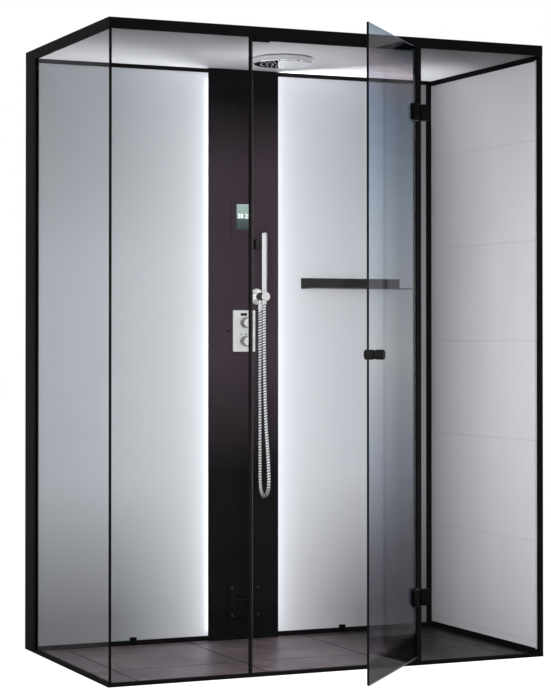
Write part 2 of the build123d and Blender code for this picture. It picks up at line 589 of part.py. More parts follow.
# --- hand shower --------------------------------------------------------------------------
def make_hand_shower():
    base, reach = COLUMN_FACE, COLUMN_FACE - HOLDER_FACE_Y
    profile = [(0, 0), (ROSETTE_R, 0), (ROSETTE_R, ROSETTE_T - 3), (ROSETTE_R - 3, ROSETTE_T)]
    profile += [(HOLDER_R, ROSETTE_T), (HOLDER_R, reach - 1), (HOLDER_R - 1, reach), (0, reach)]
    elbow = turned(profile, HOLDER_X, base, HOLDER_Z, "-y")
    elbow += rod((HOLDER_X, base, HOLDER_Z), (HOLDER_X, 344, HOLDER_Z), 10)
    elbow += rod((HOLDER_X, OUTLET_Y, HOLDER_Z), (HOLDER_X, OUTLET_Y, WALL_NUT_TOP), 8.5)
    narrow, wide = CONE_R[0] + CONE_GAP, CONE_R[1] + CONE_GAP
    bore = [(0, -30), (narrow, -30), (narrow, -19), (wide, 18), (wide, 30), (0, 30)]
    elbow -= turned(bore, HOLDER_X, STICK_Y, HOLDER_Z)
    nodes["shower_elbow"] = elbow

    low, high = NUT_BOTTOM - HOLDER_Z, NUT_TOP - HOLDER_Z
    cone = [(0, low), (9.4, low), (9.4, low + 7), (CONE_R[0], low + 9), (CONE_R[1], high), (0, high)]
    nodes["hose_cone_nut"] = turned(cone, HOLDER_X, STICK_Y, HOLDER_Z)

    length = STICK_TOP - NUT_TOP
    stick = [(0, 0), (9.5, 0), (9.5, 3), (STICK_R, 9), (STICK_R, length - 2.5)]
    stick += [(STICK_R - 2.5, length), (0, length)]
    handle = turned(stick, HOLDER_X, STICK_Y, NUT_TOP)
    flat_y = STICK_Y + STICK_R - 1.2
    handle -= span((HOLDER_X - 8, HOLDER_X + 8), (flat_y, flat_y + 5), (STICK_TOP - 92, STICK_TOP - 8))
    for i in range(9):
        for side in (-2.2, 2.2):
            place = Pos(HOLDER_X + side, flat_y, STICK_TOP - 84 + 8.5 * i)
            handle += place * Box(1.6, 1.8, 1.6)
    nodes["hand_shower"] = handle

    nut = Pos(HOLDER_X, OUTLET_Y, 0) * rod((0, 0, WALL_NUT_BOTTOM), (0, 0, WALL_NUT_TOP), 9.4)
    nut += rod((HOLDER_X, OUTLET_Y, WALL_NUT_BOTTOM), (HOLDER_X, OUTLET_Y, WALL_NUT_BOTTOM + 12), 10.2)
    nodes["hose_wall_nut"] = nut


# the hose hangs in one loop from the elbow's nut to the hand shower's nut
HOSE_ROUTE = [
    (38, 272, 1212),
    (38, 272, 1108),
    (40, 281, 960),
    (44, 289, 800),
    (45, 291, 665),
    (45, 290.5, 566),
    (40, 259, 533),
    (34, 213, 533),
    (32, 178, 566),
    (33, 187, 665),
    (36, 218, 800),
    (37, 231, 960),
    (38, 235, 1110),
    (38, 235, 1232),
]


def make_hose():
    points = [Vector(*p) for p in HOSE_ROUTE]
    radii = []
    for before, here, after in zip(points, points[1:], points[2:]):
        turn = math.radians((here - before).get_angle(after - here))
        run = min((here - before).length, (after - here).length)
        radii.append(0.45 * run / math.tan(turn / 2))
    print("hose bend radii", [round(r) for r in radii])
    path = FilletPolyline(*HOSE_ROUTE, radius=radii)
    first = points[1] - points[0]
    hose = sweep(Plane(origin=points[0], z_dir=first) * Circle(HOSE_R), path=path)
    straight = math.pi * HOSE_R**2 * path.length
    print("hose length", round(path.length), "volume ratio", round(hose.volume / straight, 4))
    nodes["shower_hose"] = hose


# --- overhead shower ----------------------------------------------------------------------
def make_overhead():
    r, t, top = HEAD_R, HEAD_T, CEILING_Z
    profile = [(0, 0), (r - 14, 0), (r - 4, -2), (r, -6), (r, -t), (0, -t)]
    body = turned(profile, HEAD_X, HEAD_Y, top)
    body += Pos(HEAD_X, HEAD_Y, top + 12) * Cylinder(12, 26)
    nodes["overhead_body"] = body

    face = [(0, 0), (r - 1, 0), (r - 2, -HEAD_FACE_T + 1), (r - 3.5, -HEAD_FACE_T), (0, -HEAD_FACE_T)]
    plate = turned(face, HEAD_X, HEAD_Y, top - t)
    low = top - t - HEAD_FACE_T - NOZZLE_L
    nub = extrude(RegularPolygon(NOZZLE_R, 6), NOZZLE_L + 1)
    nubs = []
    for ring, count in NOZZLE_RINGS:
        for i in range(count):
            nubs.append(Pos(HEAD_X, HEAD_Y, low) * Rot(0, 0, 360 * i / count) * Pos(ring, 0, 0) * nub)
    nodes["overhead_face"] = plate + nubs


# --- door ---------------------------------------------------------------------------------
def make_door():
    leaf_x = (AXIS_X - LEAF_OUT, AXIS_X - LEAF_IN)
    leaf = span(leaf_x, PANE_Y, LEAF_Z)
    for level in HINGE_Z:
        leaf -= hinge_cutout(leaf_x[1], level, DOOR_NOTCH - LEAF_IN)
    knob_x = AXIS_X - DOOR_KNOB_AT
    leaf -= rod((knob_x, FRONT - 20, DOOR_KNOB_Z), (knob_x, FRONT + 30, DOOR_KNOB_Z), 6)
    nodes["door_glass"] = opened(leaf)

    y = PANE_FRONT_Y
    edge = span((leaf_x[0] - EDGE_W, leaf_x[0]), (y - EDGE_D / 2, y + EDGE_D / 2), LEAF_Z)
    edge = fillet(edge.edges().filter_by(Axis.Z).sort_by(Axis.X)[:2], 1.0)
    nodes["door_edge_profile"] = opened(edge)

    # a soft clip on the lower edge of the glass, with a lip that hangs from it
    z, g, h = LEAF_Z[0], GLASS_T / 2, GLASS_T / 2 + 0.8
    section = [(-h, z + 3), (-h, z - 1.5), (-1, z - 2), (-1.6, z - 5), (-0.2, z - 5), (0.8, z - 2)]
    section += [(h, z - 1.5), (h, z + 3), (g, z + 3), (g, z), (-g, z), (-g, z + 3)]
    section = [(y + a, b) for a, b in section]
    nodes["door_bottom_seal"] = opened(along_x(section, *leaf_x))

    profile = [(0, 0), (DOOR_KNOB_R - 1.5, 0), (DOOR_KNOB_R - 1.5, 1.5), (DOOR_KNOB_R, 2.5)]
    profile += [(DOOR_KNOB_R, DOOR_KNOB_L - 1.5), (DOOR_KNOB_R - 1.5, DOOR_KNOB_L), (0, DOOR_KNOB_L)]
    outer = turned(profile, knob_x, PANE_Y[0], DOOR_KNOB_Z, "-y")
    outer += rod((knob_x, PANE_Y[0], DOOR_KNOB_Z), (knob_x, PANE_Y[1], DOOR_KNOB_Z), 5.5)
    inner = mirror(turned(profile, knob_x, PANE_Y[0], DOOR_KNOB_Z, "-y"), Plane.XZ.offset(-y))
    nodes["door_knobs"] = opened(Compound([outer, inner]))


def clamp(side, reach, level):
    """An outer plate with its boss through the glass and an inner plate, left (-1) or right (1)."""
    near, far = AXIS_X + side * reach[0], AXIS_X + side * reach[1]
    width = reach[1] - reach[0]
    outline = slab(width, HINGE_H, HINGE_PLATE_T, 3)
    middle = (near + far) / 2
    outer = Pos(middle, PANE_Y[0] - HINGE_PLATE_T, level) * outline
    outer = chamfer(outer.faces().sort_by(Axis.Y)[0].edges(), 1.2)
    boss_x = tuple(sorted((near, near + side * BOSS_L)))
    outer += span(boss_x, PANE_Y, (level - BOSS_HALF, level + BOSS_HALF))
    inner = Pos(middle, PANE_Y[1], level) * outline
    return outer, chamfer(inner.faces().sort_by(Axis.Y)[-1].edges(), 1.2)


def knuckle(side, near, low, high):
    """A barrel round the hinge axis, with the web that joins it to its clamp plate."""
    web_x = tuple(sorted((AXIS_X, AXIS_X + side * near)))
    barrel = rod((AXIS_X, AXIS_Y, low), (AXIS_X, AXIS_Y, high), KNUCKLE_R)
    return barrel + span(web_x, (AXIS_Y - 6, AXIS_Y + 6), (low, high))


def make_hinges():
    """Two glass hinges: one knuckle on the door turns between two on the fixed clamp."""
    door, fixed, pins = [], [], []
    half = HINGE_H / 2
    for level in HINGE_Z:
        bottom, top = level - half, level + half
        bore = rod((AXIS_X, AXIS_Y, bottom - 5), (AXIS_X, AXIS_Y, top + 5), PIN_R + RUN_FIT)
        plate, back = clamp(-1, DOOR_PLATE, level)
        plate += knuckle(-1, DOOR_PLATE[0], level - KNUCKLE_HALF, level + KNUCKLE_HALF)
        door += [opened(plate - bore), opened(back)]

        plate, back = clamp(1, FIXED_PLATE, level)
        clear = KNUCKLE_HALF + KNUCKLE_PLAY
        for low, high in ((bottom, level - clear), (level + clear, top)):
            plate += knuckle(1, FIXED_PLATE[0], low, high)
        fixed += [plate - bore, back]
        pins.append(rod((AXIS_X, AXIS_Y, bottom - 1), (AXIS_X, AXIS_Y, top + 1), PIN_R))
    nodes["hinge_door_plates"] = Compound(door)
    nodes["hinge_fixed_plates"] = Compound(fixed)
    nodes["hinge_pins"] = Compound(pins)


make_base()
make_floor()
make_roof()
make_posts()
make_doorway_seals()
make_panes()
make_walls()
make_housing()
make_services()
make_column()
make_mixer()
make_column_fittings()
make_hand_shower()
make_hose()
make_overhead()
make_door()
make_hinges()

os.makedirs("parts", exist_ok=True)
for name, shape in nodes.items():
    export_step(shape, f"parts/{name}.step")
print(len(nodes), "nodes written")
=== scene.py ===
# %% [markdown]
# # A steam shower cabin
# The cabin is a black frame with clear glass in front and on the left, white panels behind and on the
# right, a dark column with the fittings, and a glass door that stands half open. The solids come from
# the CAD frame. This lesson gives them their finishes and adds the small pieces that CAD left out.
# %% Load the frame
import json
import math
import bmesh
import bpy
from mathutils import Matrix, Vector


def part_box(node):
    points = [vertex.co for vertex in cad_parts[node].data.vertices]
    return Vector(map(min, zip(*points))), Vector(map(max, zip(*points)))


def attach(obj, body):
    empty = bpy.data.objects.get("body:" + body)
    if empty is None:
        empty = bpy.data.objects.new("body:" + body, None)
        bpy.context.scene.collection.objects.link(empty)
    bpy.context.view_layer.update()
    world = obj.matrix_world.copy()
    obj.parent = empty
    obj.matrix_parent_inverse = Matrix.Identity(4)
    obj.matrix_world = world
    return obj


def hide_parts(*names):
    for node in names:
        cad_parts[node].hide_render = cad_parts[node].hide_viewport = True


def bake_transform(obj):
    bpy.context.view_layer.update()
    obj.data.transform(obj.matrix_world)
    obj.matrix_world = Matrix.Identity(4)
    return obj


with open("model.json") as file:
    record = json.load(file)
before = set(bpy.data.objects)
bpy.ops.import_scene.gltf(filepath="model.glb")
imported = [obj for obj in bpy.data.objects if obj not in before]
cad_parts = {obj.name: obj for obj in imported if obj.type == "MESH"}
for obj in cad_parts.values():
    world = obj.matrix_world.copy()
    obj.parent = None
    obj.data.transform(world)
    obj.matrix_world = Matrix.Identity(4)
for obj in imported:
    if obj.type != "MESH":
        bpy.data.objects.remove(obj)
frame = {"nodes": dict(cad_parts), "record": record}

bpy.ops.object.select_all(action="DESELECT")
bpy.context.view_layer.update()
record = frame["record"]
nodes = frame["nodes"]

# %% [markdown]
# ## The camera
# A product picture is taken from a few metres away with a long lens, so that upright lines stay upright.
# The camera could be aimed by hand until it looks right, but a camera that was solved from the frame's
# corners sits at once where it should. A small shift moves the frame without tilting the camera.
# %% Camera
IMAGE_W, IMAGE_H = 551, 700
FOCAL_PX = 2042.99
CENTRE_PX = (270.368, 316.860)
CAMERA_AT = (-2.94559, -6.58913, 1.09684)
YAW, PITCH = 0.4152, 0.0120

lens = bpy.data.cameras.new("camera")
lens.sensor_width = 36
lens.lens = FOCAL_PX / IMAGE_H * lens.sensor_width
lens.shift_x = (IMAGE_W / 2 - CENTRE_PX[0]) / IMAGE_H
lens.shift_y = (CENTRE_PX[1] - IMAGE_H / 2) / IMAGE_H
camera = bpy.data.objects.new("camera", lens)
camera.location = CAMERA_AT
camera.rotation_euler = (math.pi / 2 + PITCH, 0, -YAW)
bpy.context.collection.objects.link(camera)
bpy.context.scene.camera = camera
bpy.context.scene.view_settings.view_transform = "Standard"
print("lens", round(lens.lens, 1), "mm, shift", round(lens.shift_x, 4), round(lens.shift_y, 4))

# %% [markdown]
# ## A kit for materials
# Every finish here is a Principled shader whose inputs are driven by a few patterns. The patterns are
# node groups, made once: fine grain for coated metal and plastic, and faint wipe marks for whatever a
# hand or a cloth touches. They give out plain values, and each material decides what those do.
# %% Helpers for groups and patterns
def new_group(name, inputs, outputs):
    """An empty shader node group with float inputs (name, value) and outputs (name, type)."""
    group = bpy.data.node_groups.new(name, "ShaderNodeTree")
    for label, value in inputs:
        group.interface.new_socket(label, in_out="INPUT", socket_type="NodeSocketFloat").default_value = value
    for label, kind in outputs:
        group.interface.new_socket(label, in_out="OUTPUT", socket_type=kind)
    return group, group.nodes.new("NodeGroupInput"), group.nodes.new("NodeGroupOutput")


def noise(tree, vector, scale, detail=3.0, roughness=0.55):
    """A noise texture on a vector socket, with a number or a socket as its scale."""
    node = tree.nodes.new("ShaderNodeTexNoise")
    node.inputs["Detail"].default_value = detail
    node.inputs["Roughness"].default_value = roughness
    tree.links.new(vector, node.inputs["Vector"])
    if isinstance(scale, (int, float)):
        node.inputs["Scale"].default_value = scale
    else:
        tree.links.new(scale, node.inputs["Scale"])
    return node.outputs["Fac"]


def math_node(tree, operation, a, b=0.0):
    """A Math node on two sockets or numbers."""
    node = tree.nodes.new("ShaderNodeMath")
    node.operation = operation
    for socket, value in zip(node.inputs, (a, b)):
        if isinstance(value, (int, float)):
            socket.default_value = value
        else:
            tree.links.new(value, socket)
    return node.outputs[0]


def ramp(tree, value, stops):
    """A colour ramp; stops are (position, colour)."""
    node = tree.nodes.new("ShaderNodeValToRGB")
    marks = node.color_ramp.elements
    for _ in stops[2:]:  # a new ramp has two marks
        marks.new(0.5)
    for mark, (position, colour) in zip(marks, stops):
        mark.position = position
        mark.color = (*colour, 1)
    tree.links.new(value, node.inputs[0])
    return node.outputs["Color"]


def spread(tree, value, low, high, start=0.3, end=0.7):
    """Stretches a pattern's usual span to low..high."""
    node = tree.nodes.new("ShaderNodeMapRange")
    for label, number in (("From Min", start), ("From Max", end), ("To Min", low), ("To Max", high)):
        node.inputs[label].default_value = number
    tree.links.new(value, node.inputs["Value"])
    return node.outputs["Result"]


def place(tree):
    """Object coordinates, in metres."""
    return tree.nodes.new("ShaderNodeTexCoord").outputs["Object"]


def split(tree, vector):
    """The x, y and z sockets of a vector."""
    node = tree.nodes.new("ShaderNodeSeparateXYZ")
    tree.links.new(vector, node.inputs[0])
    return node.outputs


# %% Helpers for materials
def new_material(name):
    """A material with its tree and its Principled shader."""
    material = bpy.data.materials.new(name)
    material.use_nodes = True
    tree = material.node_tree
    return material, tree, tree.nodes["Principled BSDF"]


def use_group(tree, group, **values):
    """Places a group in a material with its own values."""
    node = tree.nodes.new("ShaderNodeGroup")
    node.node_tree = group
    for label, value in values.items():
        node.inputs[label.replace("_", " ")].default_value = value
    return node.outputs


def set_plain(shader, **values):
    """Sets a shader's own sockets: names with underscores for spaces."""
    for label, value in values.items():
        socket = shader.inputs[label.replace("_", " ")]
        socket.default_value = (*value, 1) if isinstance(value, tuple) and len(value) == 3 else value


def bump(tree, shader, height, strength, distance):
    """Feeds a height to the shader's normal."""
    node = tree.nodes.new("ShaderNodeBump")
    node.inputs["Strength"].default_value = strength
    node.inputs["Distance"].default_value = distance
    tree.links.new(height, node.inputs["Height"])
    tree.links.new(node.outputs["Normal"], shader.inputs["Normal"])


def shaded(tree, colour, factor):
    """A colour socket darkened by a factor socket."""
    node = tree.nodes.new("ShaderNodeMix")
    node.data_type = "RGBA"
    node.blend_type = "MULTIPLY"
    node.inputs["Factor"].default_value = 1.0
    tree.links.new(colour, node.inputs[6])
    tree.links.new(factor, node.inputs[7])
    return node.outputs[2]


# %% Helpers for sums with sockets
def times(tree, first, *others):
    """The product of sockets and numbers."""
    for other in others:
        first = math_node(tree, "MULTIPLY", first, other)
    return first


def plus(tree, first, *others):
    """The sum of sockets and numbers."""
    for other in others:
        first = math_node(tree, "ADD", first, other)
    return first


def less(tree, a, b):
    """The difference of two sockets or numbers."""
    return math_node(tree, "SUBTRACT", a, b)


def far_from(tree, value, middle):
    """How far a value lies from a middle, without its sign."""
    return math_node(tree, "ABSOLUTE", less(tree, value, middle))


# %% Shared patterns: fine grain and wipe marks
FLOAT = "NodeSocketFloat"
grain_group, inside, outside = new_group(
    "fine_grain", [("Scale", 900.0), ("Mottle", 6.0)], [("Grain", FLOAT), ("Mottle", FLOAT)]
)
here = place(grain_group)
grain_group.links.new(noise(grain_group, here, inside.outputs["Scale"], 2.0), outside.inputs["Grain"])
grain_group.links.new(noise(grain_group, here, inside.outputs["Mottle"], 4.0), outside.inputs["Mottle"])

wipe_group, inside, outside = new_group("wipe_marks", [("Scale", 5.0)], [("Marks", FLOAT)])
here = place(wipe_group)
stretch = wipe_group.nodes.new("ShaderNodeMapping")
stretch.inputs["Scale"].default_value = (1.0, 1.0, 0.25)
wipe_group.links.new(here, stretch.inputs["Vector"])
broad = noise(wipe_group, stretch.outputs[0], inside.outputs["Scale"], 5.0, 0.65)
fine = noise(wipe_group, here, 60.0, 2.0)
wipe_group.links.new(times(wipe_group, broad, plus(wipe_group, fine, 0.5)), outside.inputs["Marks"])
print("groups", [g.name for g in bpy.data.node_groups])

# %% [markdown]
# ## Coated metal, plastic and chrome
# Powder-coated aluminium is nearly black and has a fine grain that softens its shine. Moulded plastic is
# the same idea with another grain. A smooth plated surface is a mirror, and only faint wipe marks in its
# roughness tell the eye that it is metal and not a hole in the picture. Two functions make them all.
# %% Coated, moulded and plated finishes
finish = {}


def coated(slot, dark, light, rough, grain=900.0, relief=0.00004, **plain):
    """A grained finish: colour from dark to light, roughness as a (low, high) pair."""
    material, tree, shader = new_material(slot)
    pattern = use_group(tree, grain_group, Scale=grain, Mottle=7.0)
    colour = ramp(tree, pattern["Mottle"], [(0.3, dark), (0.7, light)])
    tree.links.new(colour, shader.inputs["Base Color"])
    tree.links.new(spread(tree, pattern["Grain"], *rough), shader.inputs["Roughness"])
    if relief:
        bump(tree, shader, pattern["Grain"], 0.4, relief)
    set_plain(shader, **plain)
    finish[slot] = material
    return material


def polished(slot, colour, rough, scale=5.0, **plain):
    """A smooth finish whose roughness shows faint wipe marks."""
    material, tree, shader = new_material(slot)
    marks = use_group(tree, wipe_group, Scale=scale)["Marks"]
    tree.links.new(spread(tree, marks, *rough, 0.2, 0.8), shader.inputs["Roughness"])
    shade = ramp(tree, marks, [(0.2, colour), (0.8, tuple(0.94 * c for c in colour))])
    tree.links.new(shade, shader.inputs["Base Color"])
    set_plain(shader, **plain)
    finish[slot] = material
    return material


coated("black_profile", (0.008, 0.007, 0.008), (0.011, 0.010, 0.011), (0.38, 0.5), Specular_IOR_Level=0.006)
# side_profile is a darker, duller copy of black_profile, for the left wall channel: painted shade on that
# side.
coated("side_profile", (0.0025, 0.0025, 0.0025), (0.004, 0.004, 0.004), (0.38, 0.5), Specular_IOR_Level=0.004)
coated(
    "satin_black", (0.004, 0.004, 0.004), (0.007, 0.007, 0.007), (0.3, 0.42), 1500.0,
    Specular_IOR_Level=0.02,
)
coated(
    "black_rubber", (0.003, 0.003, 0.003), (0.005, 0.005, 0.005), (0.5, 0.65), 700.0,
    Specular_IOR_Level=0.08,
)
coated(
    "smoky_seal", (0.22, 0.18, 0.20), (0.26, 0.22, 0.24), (0.05, 0.15), 400.0, 0,
    IOR=1.05, Transmission_Weight=0.95,
)
coated("dark_screw", (0.08, 0.08, 0.085), (0.11, 0.11, 0.115), (0.3, 0.4), 800.0, 0, Metallic=1.0)
coated("pan", (0.02, 0.02, 0.02), (0.03, 0.03, 0.03), (0.4, 0.55))
coated("grey_sheet", (0.30, 0.31, 0.32), (0.34, 0.35, 0.36), (0.4, 0.55), 700.0)
coated("grey_plastic", (0.10, 0.10, 0.11), (0.13, 0.13, 0.14), (0.4, 0.5), 1200.0)
coated("pex_pipe", (0.60, 0.61, 0.62), (0.68, 0.69, 0.70), (0.35, 0.45), 300.0, 0)
coated("seal", (0.05, 0.05, 0.055), (0.07, 0.07, 0.075), (0.3, 0.45), 400.0, 0)
polished("chrome", (0.82, 0.82, 0.84), (0.04, 0.12), Metallic=1.0)
polished("hose_metal", (0.72, 0.72, 0.75), (0.12, 0.25), 30.0, Metallic=1.0)
polished("brass", (0.66, 0.48, 0.20), (0.22, 0.4), 40.0, Metallic=1.0)
polished("black_gloss", (0.006, 0.006, 0.007), (0.06, 0.16), Specular_IOR_Level=0.4)
print("finishes", sorted(finish))

# %% [markdown]
# ## Fittings with a satin face
# The mixer plate, the knobs and the hand shower's holder are plated, but their front faces are brushed
# fine. A brushed face gathers light from a wide angle and looks almost white, while the turned sides stay
# a mirror with dark bands. A mask from the normal tells front from side. On the knobs a second mask, from
# the angle around each knob's own axis, paints shade into the bottom of the flutes, where little light
# comes in, and painted shade also darkens the rest of the knobs' turned sides.
# %% Satin chrome
PLATED = (0.95, 0.95, 0.96)
PLATED_WIPED = (0.90, 0.90, 0.91)
# The colour of painted shade in the knobs' flutes and on their turned sides.
FLUTE_SHADE = (0.05, 0.05, 0.055)
FLUTES = 24


def fitting(name, face, side=0.07, centres=(), metal=1.0):
    """Chrome with a rougher face than side; centres are (x, z) of two fluted knobs, one above the other, which
    get painted shade on their flutes and sides.
    """
    material, tree, shader = new_material(name)
    normal = tree.nodes.new("ShaderNodeTexCoord").outputs["Normal"]
    ahead = spread(tree, math_node(tree, "ABSOLUTE", split(tree, normal)[1]), 0.0, 1.0, 0.90, 0.98)
    marks = use_group(tree, wipe_group, Scale=8.0)["Marks"]
    rough = plus(tree, times(tree, ahead, face - side), side, times(tree, marks, 0.05))
    tree.links.new(rough, shader.inputs["Roughness"])
    set_plain(shader, Metallic=metal)
    if centres:
        x, y, z = split(tree, place(tree))
        middle = 0.5 * (centres[0][1] + centres[1][1])
        half = 0.5 * abs(centres[0][1] - centres[1][1])
        up = less(tree, far_from(tree, z, middle), half)
        turn = math_node(tree, "ARCTAN2", up, less(tree, x, centres[0][0]))
        wave = math_node(tree, "SINE", times(tree, turn, FLUTES))
        # Painted shade on the knobs' sides, deepest in the bottoms of the flutes.
        dark = times(tree, spread(tree, wave, 0.45, 1.0, -0.6, 0.5), less(tree, 1.0, ahead))
        colour = ramp(tree, dark, [(0.0, PLATED), (0.9, FLUTE_SHADE)])
    else:
        colour = ramp(tree, marks, [(0.2, PLATED), (0.8, PLATED_WIPED)])
    tree.links.new(colour, shader.inputs["Base Color"])
    return material


satin_plate = fitting("satin_plate", 0.4, metal=0.15)
satin_holder = fitting("satin_holder", 0.2)
knob_middles = [0.5 * (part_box(n)[0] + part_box(n)[1]) for n in ("knob_temperature", "knob_flow")]
fluted_knob = fitting("fluted_knob", 0.2, 0.1, [(v.x, v.z) for v in knob_middles])
print("knobs at", [tuple(round(c, 4) for c in v) for v in knob_middles])

# %% [markdown]
# ## Steel that nobody sees
# Behind the cabin stand galvanised uprights and a stainless tank. Zinc cools in flat crystals, which a
# Voronoi pattern draws. Brushed steel has its grain in one direction, so its noise is stretched.
# %% Zinc and stainless steel
material, tree, shader = new_material("zinc_steel")
crystals = tree.nodes.new("ShaderNodeTexVoronoi")
crystals.inputs["Scale"].default_value = 70.0
tree.links.new(place(tree), crystals.inputs["Vector"])
chance = split(tree, crystals.outputs["Color"])
shade = ramp(tree, chance[0], [(0.0, (0.42, 0.43, 0.45)), (1.0, (0.62, 0.63, 0.65))])
tree.links.new(shade, shader.inputs["Base Color"])
tree.links.new(spread(tree, chance[1], 0.3, 0.5, 0, 1), shader.inputs["Roughness"])
set_plain(shader, Metallic=1.0)
finish["zinc_steel"] = material

material, tree, shader = new_material("stainless")
stretch = tree.nodes.new("ShaderNodeMapping")
stretch.inputs["Scale"].default_value = (12.0, 900.0, 900.0)
tree.links.new(place(tree), stretch.inputs["Vector"])
lines = noise(tree, stretch.outputs[0], 1.0, 2.0)
shade = ramp(tree, lines, [(0.3, (0.50, 0.50, 0.51)), (0.7, (0.66, 0.66, 0.67))])
tree.links.new(shade, shader.inputs["Base Color"])
tree.links.new(spread(tree, lines, 0.22, 0.38), shader.inputs["Roughness"])
set_plain(shader, Metallic=1.0)
finish["stainless"] = material
print("finishes", len(finish))

# %% [markdown]
# ## Floor tiles
# The tiles look like brown slate: cloudy patches a hand wide, finer veins across them and a sealed
# surface that shines unevenly. Three scales of noise on the object's own coordinates run on from tile to
# tile, as in a floor that is laid in one piece. The joints are narrow, so the tiles are also darkened
# beside them, where dirt and shade gather. Painted shade darkens the floor towards the closed wall on
# the right.
# %% Stone tiles
TILE_PITCH = 0.456
FIRST_JOINT_X, FIRST_JOINT_Y = -0.225, -0.175
material, tree, shader = new_material("stone_tile")
here = place(tree)
clouds = noise(tree, here, 4.0, 6.0, 0.6)
veins = noise(tree, here, 16.0, 8.0, 0.7)
specks = noise(tree, here, 320.0, 2.0)
mix = plus(tree, times(tree, clouds, 0.6), times(tree, veins, 0.4))
stone = [(0.36, (0.094, 0.072, 0.082)), (0.48, (0.146, 0.113, 0.129)), (0.60, (0.222, 0.176, 0.196))]
x, y, z = split(tree, here)
# Painted shade: the floor darkens towards the closed wall on the right.
shade = spread(tree, x, 1.0, 0.12, 0.10, 0.48)
for along, first in ((x, FIRST_JOINT_X), (y, FIRST_JOINT_Y)):
    counted = less(tree, along, first - 4 * TILE_PITCH)
    from_joint = math_node(tree, "PINGPONG", counted, TILE_PITCH / 2)
    shade = times(tree, shade, spread(tree, from_joint, 0.35, 1.0, 0.002, 0.006))
tree.links.new(shaded(tree, ramp(tree, mix, stone), shade), shader.inputs["Base Color"])
tree.links.new(spread(tree, veins, 0.32, 0.48), shader.inputs["Roughness"])
bump(tree, shader, plus(tree, times(tree, veins, 0.8), times(tree, specks, 0.2)), 0.2, 0.0008)
set_plain(shader, Specular_IOR_Level=0.24)
finish["stone_tile"] = material
print("tile joints at", FIRST_JOINT_X, FIRST_JOINT_Y, "and every", TILE_PITCH)

# %% [markdown]
# ## White panels
# The back panels are white sheets with light strips behind the column's edges. The strips' light on the
# sheet is painted as a glow: two falling curves of the distance from the column, on the emission colour,
# make it bright near the column and fade over a hand's width, without a lamp in front of the panel. A weak
# painted glow over the whole sheet stands in for the room's light. Away from the column the glow also
# fades towards the floor and the ceiling. Painted shade in the base colour darkens the sheet there too,
# and at both ends, most of all the right one behind the door.
# %% Back panels with their painted glow and shade
COLUMN_X = -0.011
GLOW_START = 0.139
WIDE_FALL, NEAR_FALL = 5.0, 20.0
material, tree, shader = new_material("white_glass")
x, y, z = split(tree, place(tree))
beside = far_from(tree, x, COLUMN_X)
away = less(tree, beside, GLOW_START)
wide = math_node(tree, "EXPONENT", times(tree, away, -WIDE_FALL))
near = math_node(tree, "EXPONENT", times(tree, away, -NEAR_FALL))
# Painted room light: a weak glow over the whole sheet, a little stronger towards the right.
painted_room_light = spread(tree, x, 0.13, 0.24, -0.6, 0.3)
glow = plus(tree, times(tree, wide, 0.67), times(tree, near, 0.30), painted_room_light)

# Painted shade: away from the column the sheet darkens towards the floor and the ceiling.
far = spread(tree, beside, 0.0, 1.0, 0.15, 0.48)
ends = plus(tree, spread(tree, z, 0.50, 0.0, 0.1, 0.6), spread(tree, z, 0.0, 0.28, 1.4, 2.1))
dim = less(tree, 1.0, times(tree, far, ends))
# The painted glow is also weaker near the floor and the ceiling.
height = times(tree, spread(tree, z, 0.80, 1.0, 0.0, 0.40), spread(tree, z, 1.0, 0.85, 1.4, 2.1))
level = times(tree, glow, height, dim)
cool = ramp(tree, level, [(0.0, (0, 0, 0)), (1.0, (0.97, 0.985, 1.0))])
tree.links.new(cool, shader.inputs["Emission Color"])

pattern = use_group(tree, grain_group, Scale=300.0, Mottle=1.2)
sheet = ramp(tree, pattern["Mottle"], [(0.3, (0.54, 0.56, 0.61)), (0.7, (0.56, 0.58, 0.63))])
# Painted shade in the base colour: darker at both ends, most of all behind the door.
sides = times(tree, dim, spread(tree, x, 1.0, 0.34, 0.50, 0.64), spread(tree, x, 0.84, 1.0, -0.95, -0.40))
tree.links.new(shaded(tree, sheet, sides), shader.inputs["Base Color"])
tree.links.new(spread(tree, pattern["Mottle"], 0.27, 0.31), shader.inputs["Roughness"])
set_plain(shader, Emission_Strength=0.42, Specular_IOR_Level=0.2)
finish["white_glass"] = material
print("glow starts", GLOW_START, "m from the column's middle")

# %% [markdown]
# ## Wall board and ceiling
# The right wall is a white board with level joints. Painted shade makes it darkest in its rear corner, where
# the room's light hardly reaches: a soft ramp along the depth paints it at once, while lamps alone would need
# many tries. The ceiling works the same way: painted shade darkens it towards the left side, the front and
# the right corner.
# %% Right wall board
JOINT_Z, JOINT_PITCH, JOINT_HALF = 0.4, 0.35, 0.0022


def darken(tree, factor):
    """Darkens the base colour that a finish has already by a factor socket."""
    base = tree.nodes["Principled BSDF"].inputs["Base Color"]
    tree.links.new(shaded(tree, base.links[0].from_socket, factor), base)


coated(
    "wall_board", (0.91, 0.90, 0.94), (0.94, 0.93, 0.97), (0.34, 0.44), 500.0, 0.00002,
    Specular_IOR_Level=0.3,
)
tree = finish["wall_board"].node_tree
x, y, z = split(tree, place(tree))
from_joint = math_node(tree, "PINGPONG", less(tree, z, JOINT_Z), JOINT_PITCH / 2)
joint = times(tree, math_node(tree, "LESS_THAN", from_joint, JOINT_HALF), 0.10)
# Painted shade: the board darkens towards its rear corner; the joints are drawn darker.
darken(tree, times(tree, spread(tree, y, 1.0, 0.55, -0.15, 0.30), less(tree, 1.0, joint)))
print("boards", JOINT_PITCH, "m high")

# %% Ceiling
coated("ceiling", (0.80, 0.80, 0.83), (0.84, 0.84, 0.87), (0.5, 0.6), 600.0, 0.00002, Specular_IOR_Level=0.2)
tree = finish["ceiling"].node_tree
x, y, z = split(tree, place(tree))
